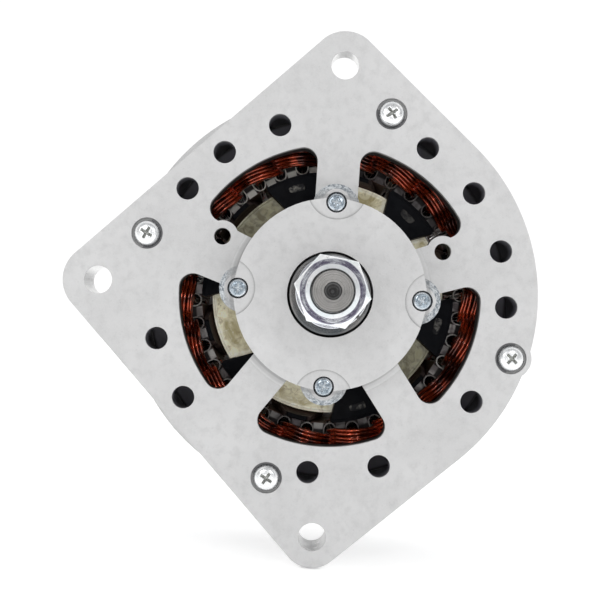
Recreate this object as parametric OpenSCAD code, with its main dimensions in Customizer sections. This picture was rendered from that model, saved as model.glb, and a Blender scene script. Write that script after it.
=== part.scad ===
// Automotive alternator with a three-lug drive-end plate, shown without pulley and fan.
// Shaft axis along Y, drive end towards -Y, Z up through the top lug.
// Origin on the shaft axis at the front face of the pulley nut. Millimetres.

/* [Drive end plate] */
// Radius of the round part of the plate
plate_r = 76; // [75:0.5:78]
// Thickness of the plate
plate_t = 10; // [8:0.5:10]
// Front face of the plate, measured from the nut face
plate_y = 50.6; // [50:0.1:51]
// Outer radius of the skirt behind the plate
skirt_r = 75.4; // [74.5:0.1:75.9]
// Inner radius of the skirt
skirt_ri = 69.7; // [69:0.1:70.5]

/* [Lugs] */
// Distance of the top lug hole from the shaft axis
lug_a_r = 84; // [82:0.5:86]
// Distance of the side lug hole from the shaft axis
lug_b_r = 84.2; // [82:0.1:86]
// Distance of the bottom lug hole from the shaft axis
lug_c_r = 88; // [86:0.5:90]
// Outline radius of the top lug
lug_a_w = 12.5; // [11:0.5:14]
// Outline radius of the side lug
lug_b_w = 12.9; // [11:0.1:14]
// Outline radius of the bottom lug
lug_c_w = 11.3; // [10:0.1:13]
// Depth of the side lug
lug_b_t = 20; // [14:1:24]
// Depth of the bottom lug
lug_c_t = 22; // [14:1:24]
// Diameter of the lug holes
lug_hole_d = 10.2; // [8:0.1:12]

/* [Hub] */
// Radius of the bearing hub
hub_r = 33.7; // [33:0.1:35]
// Height of the hub face above the plate
hub_h = 16.5; // [15:0.5:17]
// Diameter of the hub hole around the collar
hub_hole_d = 30.2; // [29.6:0.1:31]
// Radius of the circle of the retainer screws
ret_r = 32.4; // [32:0.1:33]

/* [Windows and vents] */
// Outer radius of the cooling windows
win_r = 55.3; // [54:0.1:58]
// Half width of a spoke
spoke_hw = 7.1; // [6:0.1:8]
// Corner radius of the windows
win_c = 5; // [3:0.5:6]
// Radius of the circle of vent holes
vent_r = 64.6; // [64:0.1:66]
// Diameter of the vent holes
vent_d = 8.2; // [6:0.1:9]

/* [Through bolts] */
// Radius of the bolt circle
bolt_r = 70; // [70:0.1:70.5]
// Thread diameter of the through bolts
bolt_d = 5; // [4:0.5:5]
// Diameter of the bolt heads
bolt_head_d = 9.6; // [8.5:0.1:10]
// Diameter of the counterbores
cbore_d = 11.4; // [10.6:0.1:12]

/* [Shaft and nut] */
// Thread diameter of the shaft end
thread_d = 14; // [13:0.5:14]
// Diameter of the pulley seat
seat_d = 17; // [16:0.5:17]
// Length of shaft in front of the nut
stub = 4; // [3:0.5:6]
// Width across flats of the nut
nut_af = 22; // [21:0.5:24]
// Height of the nut
nut_h = 9; // [8:0.5:9]
// Outer diameter of the spacer collar
collar_d = 28.4; // [28:0.1:29.2]

/* [Bearings] */
// Outer radius of the front bearing
fb_ro = 23.5; // [23.5:0.1:23.5]
// Width of the front bearing
fb_w = 14; // [14:1:14]
// Outer radius of the rear bearing
rb_ro = 20; // [20:0.1:20]
// Width of the rear bearing
rb_w = 12; // [12:1:12]

/* [Stator] */
// Outer radius of the laminations
st_ro = 69.2; // [68.5:0.1:69.3]
// Bore radius of the laminations
st_ri = 48.5; // [48.4:0.1:49]
// Number of slots
slots = 36; // [36:1:36]
// Front face of the laminations
st_y0 = 78.6; // [78:0.1:79]
// Rear face of the laminations
st_y1 = 116.6; // [116:0.1:117]

/* [Rotor] */
// Radius of the claw poles
rot_r = 48; // [47.6:0.1:48.1]
// Fingers on each claw pole
fingers = 6; // [6:1:6]
// Half width of the gaps between the fingers
gap_hw = 12.8; // [11:0.1:13]
// Slip ring radius
ring_r = 14.5; // [14.5:0.1:14.5]

/* [Rear bracket] */
// Outer radius of the rear bracket
rear_r = 72.4; // [72:0.1:74]
// Rear face of the end wall
wall_y = 149; // [149:1:149]
// Length of the output stud behind the wall
b_stud = 29; // [24:1:32]
// Travel of the brushes
brush_travel = 6; // [4:0.5:6]

/* [Hidden] */
$fn = 96;

plate_y1 = plate_y + plate_t;
hub_y = plate_y - hub_h;
hub_y1 = 57;
skirt_y1 = st_y0 + 6;
rear_y0 = st_y1 - 6;
bolt_a = [75, 165, 255, 345];
ret_a = [0, 90, 180, 270];
spoke_a = [18, 90, 162, 234, 306];
vent_a = [0.3, 18.5, 39.3, 60.2, 110, 130, 146.8, 197.8, 218.8, 267.1, 290.3, 327.4];
small_r = 44.4;
small_a = [25.2, 154.8];
fb_y0 = hub_y1 - fb_w;
rb_y0 = 147;
rb_y1 = rb_y0 + rb_w;
slot_a0 = 5;
phase_y = [74.2, 70.4, 66.6];
phase_y2 = [117.4, 121.2, 125.0];
turn_h = 3.6;
rot_c = (st_y0 + st_y1) / 2;
claw_y0 = 71;
claw_y1 = 124.2;
core_y0 = 83;
core_y1 = 112.2;
gap_a = 19.5;
petal_h = 8.5;
wall_y0 = wall_y - 4;
ring_y = [131.5, 140];
post_a = [20, 160, 232, 308];
diode_a = [190, 270, 350];
b_a = 215;
d_a = 325;
w_a = 245;
term_r = 38;

// Prism of a front-view outline from y0 back to y1
module ext(y0, y1) translate([0, y1, 0]) rotate([90, 0, 0]) linear_extrude(height = y1 - y0) children();
// Cylinder along Y
module cyl(r, y0, y1, x = 0, z = 0) translate([x, y0, z]) rotate([-90, 0, 0]) cylinder(r = r, h = y1 - y0);
// Cone along Y
module cone(ra, rb, y0, y1, x = 0, z = 0) translate([x, y0, z]) rotate([-90, 0, 0]) cylinder(r1 = ra, r2 = rb, h = y1 - y0);
// Solid of revolution about Y of an (r, y) outline
module rev() rotate([-90, 0, 0]) rotate_extrude() children();
module tube(ro, ri, y0, y1) rev() translate([ri, y0]) square([ro - ri, y1 - y0]);
// Sector of a tube between two angles
module sector(ro, ri, a0, a1, y0, y1)
  translate([0, y1, 0]) rotate([90, 0, 0]) rotate([0, 0, a0]) rotate_extrude(angle = a1 - a0)
    translate([ri, 0]) square([ro - ri, y1 - y0]);
// Places children at radius r and angle a, turned so that local +X points outwards
module polar(r, a) rotate([0, -a, 0]) translate([r, 0, 0]) children();
// Box at radius ra..rb along the local X axis, width w along the rim
module rbox(a, ra, rb, w, y0, y1) rotate([0, -a, 0]) translate([ra, y0, -w / 2]) cube([rb - ra, y1 - y0, w]);
function px(r, a) = r * cos(a);
function pz(r, a) = r * sin(a);
module pcyl(rr, a, r, y0, y1) cyl(r, y0, y1, px(rr, a), pz(rr, a));

// Outline of a lug: the two tangents from the plate circle to the lug circle
function arc(cx, cy, r, a0, a1, n) = [for (i = [0:n]) [cx + r * cos(a0 + (a1 - a0) * i / n), cy + r * sin(a0 + (a1 - a0) * i / n)]];
function tang(R, r, d) = acos((R - r) / d);
ta = tang(plate_r, lug_a_w, lug_a_r);
tb = tang(plate_r, lug_b_w, lug_b_r);
tc = tang(plate_r, lug_c_w, lug_c_r);
outline = concat(
  arc(0, 0, plate_r, -90 + tc, 90 - ta, 60),
  arc(0, lug_a_r, lug_a_w, 90 - ta, 90 + ta, 24),
  arc(-lug_b_r, 0, lug_b_w, 180 - tb, 180 + tb, 24),
  arc(0, -lug_c_r, lug_c_w, 270 - tc, 270 + tc, 24));

// Window between the spokes at s and e: sides at half width h0 and h1 out at the rim
// and g0 and g1 at radius 20, round corners, outer rim at r
module window(s, e, h0, h1, r, g0, g1) {
  c0 = [sqrt(pow(r - win_c, 2) - pow(h0 + win_c, 2)), h0 + win_c];
  c1 = [sqrt(pow(r - win_c, 2) - pow(h1 + win_c, 2)), h1 + win_c];
  p0 = atan2(c0[1], c0[0]);
  p1 = atan2(c1[1], c1[0]);
  t0 = atan2(h0 - g0, c0[0] - 20);
  t1 = atan2(h1 - g1, c1[0] - 20);
  x0 = c0[0] * cos(s) - c0[1] * sin(s);
  z0 = c0[0] * sin(s) + c0[1] * cos(s);
  x1 = c1[0] * cos(e) + c1[1] * sin(e);
  z1 = c1[0] * sin(e) - c1[1] * cos(e);
  polygon(concat(
    [[20 * cos(s) - g0 * sin(s), 20 * sin(s) + g0 * cos(s)]],
    arc(x0, z0, win_c, s - 90 + t0, s + p0, 8),
    arc(0, 0, r, s + p0 + 1, e - p1 - 1, 24),
    arc(x1, z1, win_c, e - p1, e + 90 - t1, 8),
    [[20 * cos(e) + g1 * sin(e), 20 * sin(e) - g1 * cos(e)]]));
}
module windows() {
  window(18, 90, 9.9, spoke_hw + 0.8, win_r, 7.6, spoke_hw + 0.8);
  window(90, 162, spoke_hw + 0.4, 10.2, win_r - 0.4, spoke_hw + 0.4, 7.5);
  window(162, 234, 10.6, spoke_hw + 0.3, win_r - 0.6, 10.6, spoke_hw + 0.3);
  window(234, 306, spoke_hw + 0.9, spoke_hw, win_r - 0.3, spoke_hw + 0.9, spoke_hw);
  window(306, 378, spoke_hw + 1, 8.9, win_r, spoke_hw + 1, 8.9);
}

module drive_end_bracket() color([0.82, 0.83, 0.84]) difference() {
  union() {
    difference() {
      union() {
        ext(plate_y, plate_y1) polygon(outline);
        cone(hub_r - 0.6, 37.4, 46.6, plate_y + 0.2);
        tube(skirt_r, skirt_ri, plate_y1 - 1, skirt_y1);
        for (a = bolt_a) pcyl(bolt_r, a, 7.5, plate_y, skirt_y1);
        for (a = bolt_a) sector(71.5, 65.2, a - 8, a + 8, plate_y1 - 1, st_y0);
        for (a = bolt_a) sector(71.5, st_ro - 1, a - 8, a + 8, st_y0 - 0.5, skirt_y1);
        cyl(lug_b_w - 0.2, plate_y1 - 1, plate_y + lug_b_t, -lug_b_r, 0);
        cyl(lug_c_w - 0.2, plate_y1 - 1, plate_y + lug_c_t, 0, -lug_c_r);
        // stiffening ribs behind the lugs
        for (x = [-7.5, 5]) translate([x, plate_y1 - 1, skirt_r - 3]) cube([2.5, 7, 8]);
        for (z = [-8, 5.5]) translate([-skirt_r - 3, plate_y1 - 1, z]) cube([6, 16, 2.5]);
        for (x = [-8, 5.5]) translate([x, plate_y1 - 1, -skirt_r - 6]) cube([2.5, 18, 9]);
      }
      ext(plate_y - 6, plate_y1 + 1) windows();
    }
    cyl(hub_r, hub_y, hub_y1);
    for (a = ret_a) {
      pcyl(ret_r, a, 4.8, hub_y + 0.7, hub_y + 4);
      translate([px(30.7, a), 0, pz(30.7, a)]) { cone(5.9, 8.4, hub_y + 0.9, hub_y + 3.2); cyl(8.4, hub_y + 3.2, hub_y1); }
    }
    for (a = small_a) pcyl(small_r, a, 5.8, plate_y, plate_y1);
  }
  // recess for the retainer plate and register of the stator
  cyl(42, hub_y1, plate_y1 + 0.1);
  cyl(st_ro + 0.03, st_y0, skirt_y1 + 1);
  // room for the windings inside the bolt bosses
  tube(64.2, 60, plate_y1 + 0.5, st_y0 + 0.5);
  // bearing seat and hub hole
  cyl(fb_ro + 0.01, fb_y0, hub_y1 + 0.1);
  cyl(hub_hole_d / 2, hub_y - 0.1, fb_y0 + 0.1);
  // spot faces and screw holes of the retainer screws
  for (a = ret_a) pcyl(36.8, a, 10.5, hub_y - 0.1, hub_y + 0.7);
  for (a = ret_a) pcyl(ret_r, a, 3.65, hub_y + 0.1, hub_y + 3.4);
  for (a = ret_a) pcyl(ret_r, a, 2.15, hub_y + 3, hub_y1 + 0.1);
  for (a = small_a) pcyl(small_r, a, 3.05, plate_y - 1, plate_y1 + 1);
  for (a = vent_a) pcyl(vent_r, a, vent_d / 2, plate_y - 1, plate_y1 + 0.6);
  for (a = bolt_a) {
    pcyl(bolt_r, a, cbore_d / 2, plate_y - 0.1, plate_y + 1.5);
    pcyl(bolt_r, a, bolt_d / 2 + 0.25, plate_y + 1, skirt_y1 + 1);
  }
  cyl(lug_hole_d / 2, plate_y - 1, plate_y1 + 1, 0, lug_a_r);
  cyl(lug_hole_d / 2, plate_y - 1, plate_y + lug_b_t + 1, -lug_b_r, 0);
  cyl(lug_hole_d / 2, plate_y - 1, plate_y + lug_c_t + 1, 0, -lug_c_r);
}

module bearing_retainer_plate() color([0.62, 0.63, 0.65]) difference() {
  ext(hub_y1, hub_y1 + 3) intersection() {
    circle(r = 39);
    rotate(45) square(54, center = true);
  }
  cyl(17.5, hub_y1 - 1, hub_y1 + 4);
  for (a = ret_a) pcyl(ret_r, a, 2.03, hub_y1 - 1, hub_y1 + 4);
}

// Cross recess cut
module cross(w, l, y0, y1) { translate([-l / 2, y0, -w / 2]) cube([l, y1 - y0, w]); translate([-w / 2, y0, -l / 2]) cube([w, y1 - y0, l]); }
module pan_screw(rh, hh, rs, y, len, turn) rotate([0, turn, 0]) difference() {
  union() {
    cyl(rh, y - hh * 0.45, y);
    cone(rh * 0.72, rh, y - hh, y - hh * 0.45);
    cyl(rs, y - 0.1, y + len);
  }
  cross(rh * 0.22, rh * 1.1, y - hh - 0.1, y - hh * 0.35);
}

module retainer_screws() color([0.78, 0.8, 0.84])
  for (i = [0:3]) translate([px(ret_r, ret_a[i]), 0, pz(ret_r, ret_a[i])]) pan_screw(3.4, 2.7, 2, hub_y + 3.4, 25.5, [10, 24, -8, 14][i]);

module through_bolts() color([0.8, 0.81, 0.84])
  for (i = [0:3]) translate([px(bolt_r, bolt_a[i]), 0, pz(bolt_r, bolt_a[i])]) pan_screw(bolt_head_d / 2, 3.8, bolt_d / 2 - 0.02, plate_y + 1.5, 88, [-8, 12, 20, -14][i]);

// Ball bearing parts: pitch radius, ball radius, groove clearance, ring shoulders
module ring_outer(ro, pr, br, y0, w) rev() difference() {
  translate([pr + br * 0.7, y0]) square([ro - pr - br * 0.7, w]);
  translate([pr, y0 + w / 2]) circle(r = br + 0.05);
}
module ring_inner(ri, pr, br, y0, w) rev() difference() {
  translate([ri, y0]) square([pr - br * 0.7 - ri, w]);
  translate([pr, y0 + w / 2]) circle(r = br + 0.05);
}
module balls(n, pr, br, y) for (i = [0:n - 1]) polar(pr, i * 360 / n) translate([0, y, 0]) sphere(r = br);
module cage(n, pr, br, y) difference() {
  tube(pr + 1.1, pr - 1.1, y - br * 1.3, y + br * 1.3);
  for (i = [0:n - 1]) rotate([0, -i * 360 / n, 0]) translate([pr - 4, y, 0]) rotate([0, 90, 0]) cylinder(r = br + 0.1, h = 8);
}
module seals(pr, br, y0, w) for (s = [0.4, w - 1.2]) tube(pr + br * 0.7, pr - br * 0.7 + 0.25, y0 + s, y0 + s + 0.8);
fb_p = 16;
fb_b = 4.35;
rb_p = 14.25;
rb_b = 3.35;
module front_bearing_outer_ring() color([0.7, 0.71, 0.73]) ring_outer(fb_ro, fb_p, fb_b, fb_y0, fb_w);
module front_bearing_inner_ring() color([0.7, 0.71, 0.73]) ring_inner(seat_d / 2 + 0.01, fb_p, fb_b, fb_y0, fb_w);
module front_bearing_seals() color([0.1, 0.1, 0.1]) seals(fb_p, fb_b, fb_y0, fb_w);
module front_bearing_balls() color([0.85, 0.86, 0.88]) balls(7, fb_p, fb_b, fb_y0 + fb_w / 2);
module front_bearing_cage() color([0.55, 0.5, 0.4]) cage(7, fb_p, fb_b, fb_y0 + fb_w / 2);
module rear_bearing_outer_ring() color([0.7, 0.71, 0.73]) ring_outer(rb_ro, rb_p, rb_b, rb_y0, rb_w);
module rear_bearing_inner_ring() color([0.7, 0.71, 0.73]) ring_inner(seat_d / 2 + 0.01, rb_p, rb_b, rb_y0, rb_w);
module rear_bearing_seals() color([0.1, 0.1, 0.1]) seals(rb_p, rb_b, rb_y0, rb_w);
module rear_bearing_balls() color([0.85, 0.86, 0.88]) balls(8, rb_p, rb_b, rb_y0 + rb_w / 2);
module rear_bearing_cage() color([0.55, 0.5, 0.4]) cage(8, rb_p, rb_b, rb_y0 + rb_w / 2);

// Stator
module slot_shape(w, ra, rb, ow) polygon([[st_ri - 1, -ow / 2], [ra, -ow / 2], [ra, -w / 2], [rb, -w / 2], [rb, w / 2], [ra, w / 2], [ra, ow / 2], [st_ri - 1, ow / 2]]);
module stator_core() color([0.45, 0.46, 0.48]) ext(st_y0, st_y1) difference() {
  circle(r = st_ro);
  circle(r = st_ri);
  for (a = bolt_a) translate([px(bolt_r, a), pz(bolt_r, a)]) circle(r = bolt_d / 2 + 0.6);
  for (i = [0:slots - 1]) rotate(slot_a0 + i * 360 / slots) slot_shape(4.6, 50.2, 60.2, 2.6);
}
module slot_liners() color([0.82, 0.8, 0.72]) for (i = [0:slots - 1])
  ext(st_y0 - 2, st_y1 + 0.7) rotate(slot_a0 + i * 360 / slots)
    polygon([[60, 2.25], [51.4, 2.25], [50.3, 1.2], [50.3, -1.2], [51.4, -2.25], [60, -2.25], [60, -1.85], [51.55, -1.85], [50.7, -1.05], [50.7, 1.05], [51.55, 1.85], [60, 1.85]]);
module phase(k) {
  ya = phase_y[k];
  yb = phase_y2[k];
  n = slots / 3;
  for (i = [0:n - 1]) {
    a = slot_a0 + (k + 3 * i) * 10;
    rbox(a, 51.7, 59.3, 3.4, ya, yb + turn_h);
    rbox(a, 58, 62, 3.4, ya, ya + turn_h);
    rbox(a, 58, 62, 3.4, yb, yb + turn_h);
    if (i % 2 == 0) sector(63.8, 60.4, a - 1.5, a + 31.5, ya, ya + turn_h);
    else sector(63.8, 60.4, a - 1.5, a + 31.5, yb, yb + turn_h);
  }
}
module winding_phase_u() color([0.45, 0.13, 0.07]) phase(0);
module winding_phase_v() color([0.5, 0.15, 0.08]) phase(1);
module winding_phase_w() color([0.42, 0.12, 0.06]) phase(2);
lead_a = [219, 289, 319];
module phase_leads() color([0.45, 0.13, 0.07]) for (k = [0:2]) pcyl(62, lead_a[k], 1.2, phase_y2[k] + turn_h, 139.5);

// Slip-ring-end bracket
module slip_ring_end_bracket() color([0.8, 0.81, 0.82]) difference() {
  union() {
    tube(rear_r, 68.4, rear_y0, wall_y);
    cyl(rear_r, wall_y0, wall_y);
    for (a = bolt_a) pcyl(bolt_r, a, 7.5, rear_y0, wall_y);
    for (a = bolt_a) sector(70, 65.2, a - 8, a + 8, st_y1, wall_y0 + 1);
    for (a = bolt_a) sector(70, st_ro - 1, a - 8, a + 8, rear_y0, st_y1 + 0.5);
    cyl(25.6, wall_y0, 163);
    for (a = post_a) pcyl(57, a, 4.5, 135, wall_y0 + 1);
    for (a = [195, 235, 265, 305, 345, 15, 45, 135, 165]) rbox(a, 24, 30, 2.6, wall_y - 1, 158);
  }
  cyl(rb_ro + 0.01, rb_y0, rb_y1);
  cyl(17.5, wall_y0 - 1, rb_y0 + 0.5);
  cyl(12, rb_y1 - 0.5, 161.4);
  cyl(st_ro + 0.03, rear_y0 - 1, st_y1);
  // room for the windings and the rectifier inside the bolt bosses
  tube(65.4, 62, st_y1 - 0.5, 143.8);
  for (a = bolt_a) pcyl(bolt_r, a, bolt_d / 2, rear_y0 - 1, 142);
  // cooling slots in the skirt and in the end wall
  for (b = bolt_a, k = [1.25:1:6.25]) rbox(b + k * 12, 60, 80, 8, 122, 139);
  for (a = [0, 40, 140, 176, 194, 209, 221, 252, 263, 277, 288, 328, 343]) rbox(a, 45.5, 65.5, 5.2, wall_y0 - 1, wall_y + 1);
  for (a = [0, 20, 40, 140, 160, 180, 197, 232, 262, 278, 293, 308, 343]) rbox(a, 31, 42, 4.6, wall_y0 - 1, wall_y + 1);
  // brush holder opening
  translate([-8.8, wall_y0 - 1, 27]) cube([17.6, 6, 18]);
  // terminal and screw holes
  pcyl(term_r, b_a, 6.2, wall_y0 - 1, wall_y + 1);
  pcyl(term_r, d_a, 4.7, wall_y0 - 1, wall_y + 1);
  pcyl(term_r, w_a, 4.7, wall_y0 - 1, wall_y + 1);
  for (x = [-19, 19]) cyl(2, wall_y0 - 1, wall_y + 1, x, 55);
  for (a = post_a) pcyl(57, a, 1.75, 134, 143);
  cyl(2, wall_y0 - 1, wall_y + 1, -54, 26);
}

// Rectifier
module positive_heat_sink() color([0.78, 0.79, 0.8]) difference() {
  sector(45.5, 28, 178, 362, 132, 135);
  for (a = diode_a) pcyl(37, a, 6.35, 131, 136);
  pcyl(term_r, b_a, 4.02, 131, 136);
}
module negative_heat_sink() color([0.74, 0.75, 0.76]) difference() {
  sector(65, 48, 150, 390, 132, 135);
  for (a = diode_a) pcyl(57, a, 6.35, 131, 136);
  for (a = post_a) pcyl(57, a, 2.1, 131, 136);
  for (k = [0:2]) pcyl(62, lead_a[k], 2.4, 131, 136);
}
module diode(rr, a) { pcyl(rr, a, 6.35, 131, 137.6); pcyl(rr, a, 5.2, 137.6, 138.6); pcyl(rr, a, 0.8, 138.6, 139.5); }
module positive_diodes() color([0.7, 0.68, 0.62]) for (a = diode_a) diode(37, a);
module negative_diodes() color([0.7, 0.68, 0.62]) for (a = diode_a) diode(57, a);
module exciter_diode_board() color([0.12, 0.13, 0.12]) difference() {
  union() {
    sector(64.5, 29, 184, 356, 139.5, 141.3);
    for (a = [200, 255, 300, 340]) pcyl(46, a, 2.6, 141, 143.6);
  }
  for (a = post_a) pcyl(57, a, 5, 139, 145);
  pcyl(term_r, b_a, 5.6, 139, 145);
  pcyl(term_r, d_a, 2.52, 139, 145);
  pcyl(term_r, w_a, 2.52, 139, 145);
}
module rectifier_screws() color([0.75, 0.76, 0.78]) for (a = post_a) translate([px(57, a), 0, pz(57, a)]) pan_screw(3.6, 2.2, 1.73, 132, 9.5, a);

// Brush holder, brushes and regulator
module brush_holder() color([0.08, 0.08, 0.085]) difference() {
  union() {
    translate([-8, 127.2, 15.2]) cube([16, 17.3, 29]);
    translate([-8, 144, 27.6]) cube([16, 6, 16.6]);
    translate([-16, 149, 27]) cube([32, 3, 34]);
    for (x = [-19, 19]) cyl(5.4, 149, 152, x, 55);
  }
  for (y = ring_y) translate([-4.15, y - 2.65, 15]) cube([8.3, 5.3, 27]);
  for (x = [-19, 19]) cyl(2.2, 148, 153, x, 55);
}
module brush(y) difference() {
  translate([-4, y - 2.5, 14]) cube([8, 5, 16.5]);
  cyl(ring_r + 0.05, y - 4, y + 4);
}
module brush_inner() color([0.18, 0.17, 0.17]) brush(ring_y[0]);
module brush_outer() color([0.18, 0.17, 0.17]) brush(ring_y[1]);
module brush_spring(y) translate([0, y, 30.5]) difference() { cylinder(r = 2.1, h = 11.5); translate([0, 0, -1]) cylinder(r = 1.6, h = 14); }
module brush_spring_inner() color([0.7, 0.7, 0.72]) brush_spring(ring_y[0]);
module brush_spring_outer() color([0.7, 0.7, 0.72]) brush_spring(ring_y[1]);
module regulator_body() color([0.7, 0.71, 0.73]) difference() {
  union() {
    translate([-14, 152, 28]) cube([28, 8, 34]);
    translate([-24, 152, 49]) cube([48, 4, 12]);
    for (x = [-12.5:5:12.5]) translate([x - 1, 159.5, 29]) cube([2, 4.5, 32]);
  }
  for (x = [-19, 19]) cyl(2.2, 151, 160, x, 55);
}
module regulator_screws() color([0.8, 0.81, 0.84]) for (x = [-19, 19]) translate([x, 0, 55]) difference() {
  union() { cyl(1.97, 145.5, 156.1); cyl(4.2, 156, 158); cone(4.2, 3, 158, 159.4); }
  rotate([0, x, 0]) cross(0.9, 4.6, 158, 160);
}

// Terminals
module hexnut(af, ri, y0, y1) difference() {
  translate([0, y0, 0]) rotate([-90, 0, 0]) cylinder(r = af / sqrt(3), h = y1 - y0, $fn = 6);
  cyl(ri, y0 - 1, y1 + 1);
}
module at(r, a) translate([px(r, a), 0, pz(r, a)]) children();
module output_stud() color([0.8, 0.78, 0.68]) at(term_r, b_a) { cyl(6.4, 130.5, 132); cyl(3.98, 131.5, 160.5); cyl(3.8, 160.4, wall_y + b_stud - 1); cone(3.8, 3.1, wall_y + b_stud - 1, wall_y + b_stud); }
module output_stud_insulator() color([0.06, 0.06, 0.065]) at(term_r, b_a) difference() {
  union() { cyl(6.15, 144.2, 149.1); cyl(10, 149, 152.5); cyl(5.4, 135, 144.3); }
  cyl(4.02, 134, 154);
}
module output_stud_nuts() color([0.82, 0.8, 0.7]) at(term_r, b_a) {
  difference() { cyl(8, 152.5, 154); cyl(4, 152, 155); }
  rotate([0, 20, 0]) hexnut(13, 4, 154.02, 160.5);
}
module term(a) at(term_r, a) { cyl(4, 138.2, 139.5); cyl(2.48, 139, 156.2); cyl(2.3, 156.1, 164); cone(2.3, 1.8, 163.99, 164.5); }
module exciter_terminal() color([0.82, 0.8, 0.7]) term(d_a);
module phase_terminal() color([0.82, 0.8, 0.7]) term(w_a);
module terminal_insulators() color([0.06, 0.06, 0.065]) for (a = [d_a, w_a]) at(term_r, a) difference() {
  union() { cyl(4.65, 141.3, 149.1); cyl(7.2, 149, 151.2); }
  cyl(2.52, 141, 152);
}
module terminal_nuts() color([0.82, 0.8, 0.7]) for (a = [d_a, w_a]) at(term_r, a) {
  difference() { cyl(5, 151.2, 152.2); cyl(2.5, 151, 153); }
  rotate([0, a, 0]) hexnut(8, 2.5, 152.22, 156.2);
}
// Suppression capacitor
module capacitor() color([0.72, 0.73, 0.75]) {
  translate([-54, 158.2, -12]) cylinder(r = 9, h = 30);
  translate([-54, 158.2, -13.5]) cylinder(r = 4, h = 2);
  difference() {
    translate([-60, 149.1, 12]) cube([12, 1.2, 20]);
    cyl(2.2, 148, 152, -54, 26);
  }
}
module capacitor_screw() color([0.8, 0.81, 0.84]) translate([-54, 0, 26]) difference() {
  union() { cyl(1.97, 145.5, 150.4); cyl(3.8, 150.3, 151.6); cone(3.8, 2.6, 151.6, 152.8); }
  cross(0.9, 4.2, 151.8, 153);
}

// Rotor
module rotor_shaft() color([0.6, 0.6, 0.6]) difference() {
  union() {
    cone(thread_d / 2 - 0.6, thread_d / 2 - 0.2, -stub, -stub + 0.3);
    cyl(thread_d / 2 - 0.2, -stub + 0.3, 0.05);
    cyl(thread_d / 2, 0, 12.1);
    cyl(seat_d / 2, 12, 57.1);
    cyl(11, 57, claw_y0);
    cyl(10.5, claw_y0 - 0.1, claw_y1);
    cyl(seat_d / 2, claw_y1 - 0.1, 160);
  }
  cone(2.85, 1.25, -stub - 0.01, -stub + 2.6);
  cyl(1.25, -stub, -stub + 6);
  translate([-2.01, 22, 11.5]) rotate([0, 90, 0]) cylinder(r = 8.02, h = 4.02);
}
module woodruff_key() color([0.62, 0.62, 0.62]) intersection() {
  translate([-1.99, 22, 11.5]) rotate([0, 90, 0]) cylinder(r = 8, h = 3.98);
  translate([-4, 10, 0]) cube([8, 24, 10.3]);
}
module spacer_collar() color([0.45, 0.47, 0.48]) difference() {
  union() { cyl(collar_d / 2, 33.4, fb_y0); cone(collar_d / 2 - 0.6, collar_d / 2, 32.8, 33.42); }
  cyl(seat_d / 2 + 0.01, 30, 50);
}
module lock_washer() color([0.6, 0.61, 0.63]) difference() {
  cyl(12, nut_h, 12);
  cyl(thread_d / 2 + 0.3, nut_h - 1, 13);
  rotate([0, 40, 0]) translate([6, nut_h - 1, -0.6]) cube([8, 5, 1.2]);
}
module pulley_nut() color([0.8, 0.82, 0.88]) difference() {
  intersection() {
    translate([0, 0, 0]) rotate([0, -52.6, 0]) rotate([-90, 0, 0]) cylinder(r = nut_af / sqrt(3), h = nut_h, $fn = 6);
    union() { cone(10.5, 13.4, 0, 1.7); cyl(13.4, 1.69, nut_h - 1.7); cone(13.4, 10.5, nut_h - 1.71, nut_h); }
  }
  cyl(thread_d / 2 + 0.01, -1, nut_h + 1);
  cone(8.8, thread_d / 2, -0.01, 1.1);
}
module finger(y0, y1, f) intersection() {
  // radial thickness, thinner at the tip
  rotate([-90, 0, 0]) rotate_extrude() polygon(f > 0 ?
    [[41.5, y0], [rot_r, y0], [rot_r, y1], [46.4, y1], [45.9, y1 - 14]] : [[46.4, y0], [rot_r, y0], [rot_r, y1], [41.5, y1], [45.9, y0 + 14]]);
  // tapered outline seen from outside
  translate([30, 0, 0]) rotate([90, 0, 90]) linear_extrude(height = 25) polygon(f > 0 ?
    [[y0 - 1, -11.3], [y0 + 11, -10.9], [y1 - 3, -5.4], [y1, -3.6], [y1, 3.6], [y1 - 3, 5.4], [y0 + 11, 10.9], [y0 - 1, 11.3]] :
    [[y1 + 1, -11.3], [y1 - 11, -10.9], [y0 + 3, -5.4], [y0, -3.6], [y0, 3.6], [y0 + 3, 5.4], [y1 - 11, 10.9], [y1 + 1, 11.3]]);
}
module claw_disc(y0, y1) difference() {
  cyl(rot_r - 1.2, y0, y1);
  cyl(10.51, y0 - 1, y1 + 1);
}
module claw_gaps(y0, y1, a0) for (i = [0:fingers - 1]) rotate([0, -(a0 + i * 60), 0]) translate([28, y0, -gap_hw]) cube([30, y1 - y0, 2 * gap_hw]);
module front_claw_pole() color([0.07, 0.07, 0.075]) difference() {
  union() {
    claw_disc(claw_y0, core_y0);
    for (i = [0:fingers - 1]) rotate([0, -(gap_a + 30 + i * 60), 0]) finger(claw_y0 + 1.5, 121.5, 1);
  }
  claw_gaps(claw_y0 - 1, core_y0 + 2, gap_a);
}
module rear_claw_pole() color([0.07, 0.07, 0.075]) difference() {
  union() {
    claw_disc(core_y1, claw_y1);
    for (i = [0:fingers - 1]) rotate([0, -(gap_a + i * 60), 0]) finger(73.5, claw_y1 - 1.5, -1);
  }
  claw_gaps(core_y1 - 2, claw_y1 + 1, gap_a + 30);
  for (a = [160, 340]) pcyl(26, a, 1.4, core_y1 - 1, claw_y1 + 1);
}
module pole_core() color([0.25, 0.25, 0.26]) difference() { cyl(24, core_y0, core_y1); cyl(10.51, core_y0 - 1, core_y1 + 1); }
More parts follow.
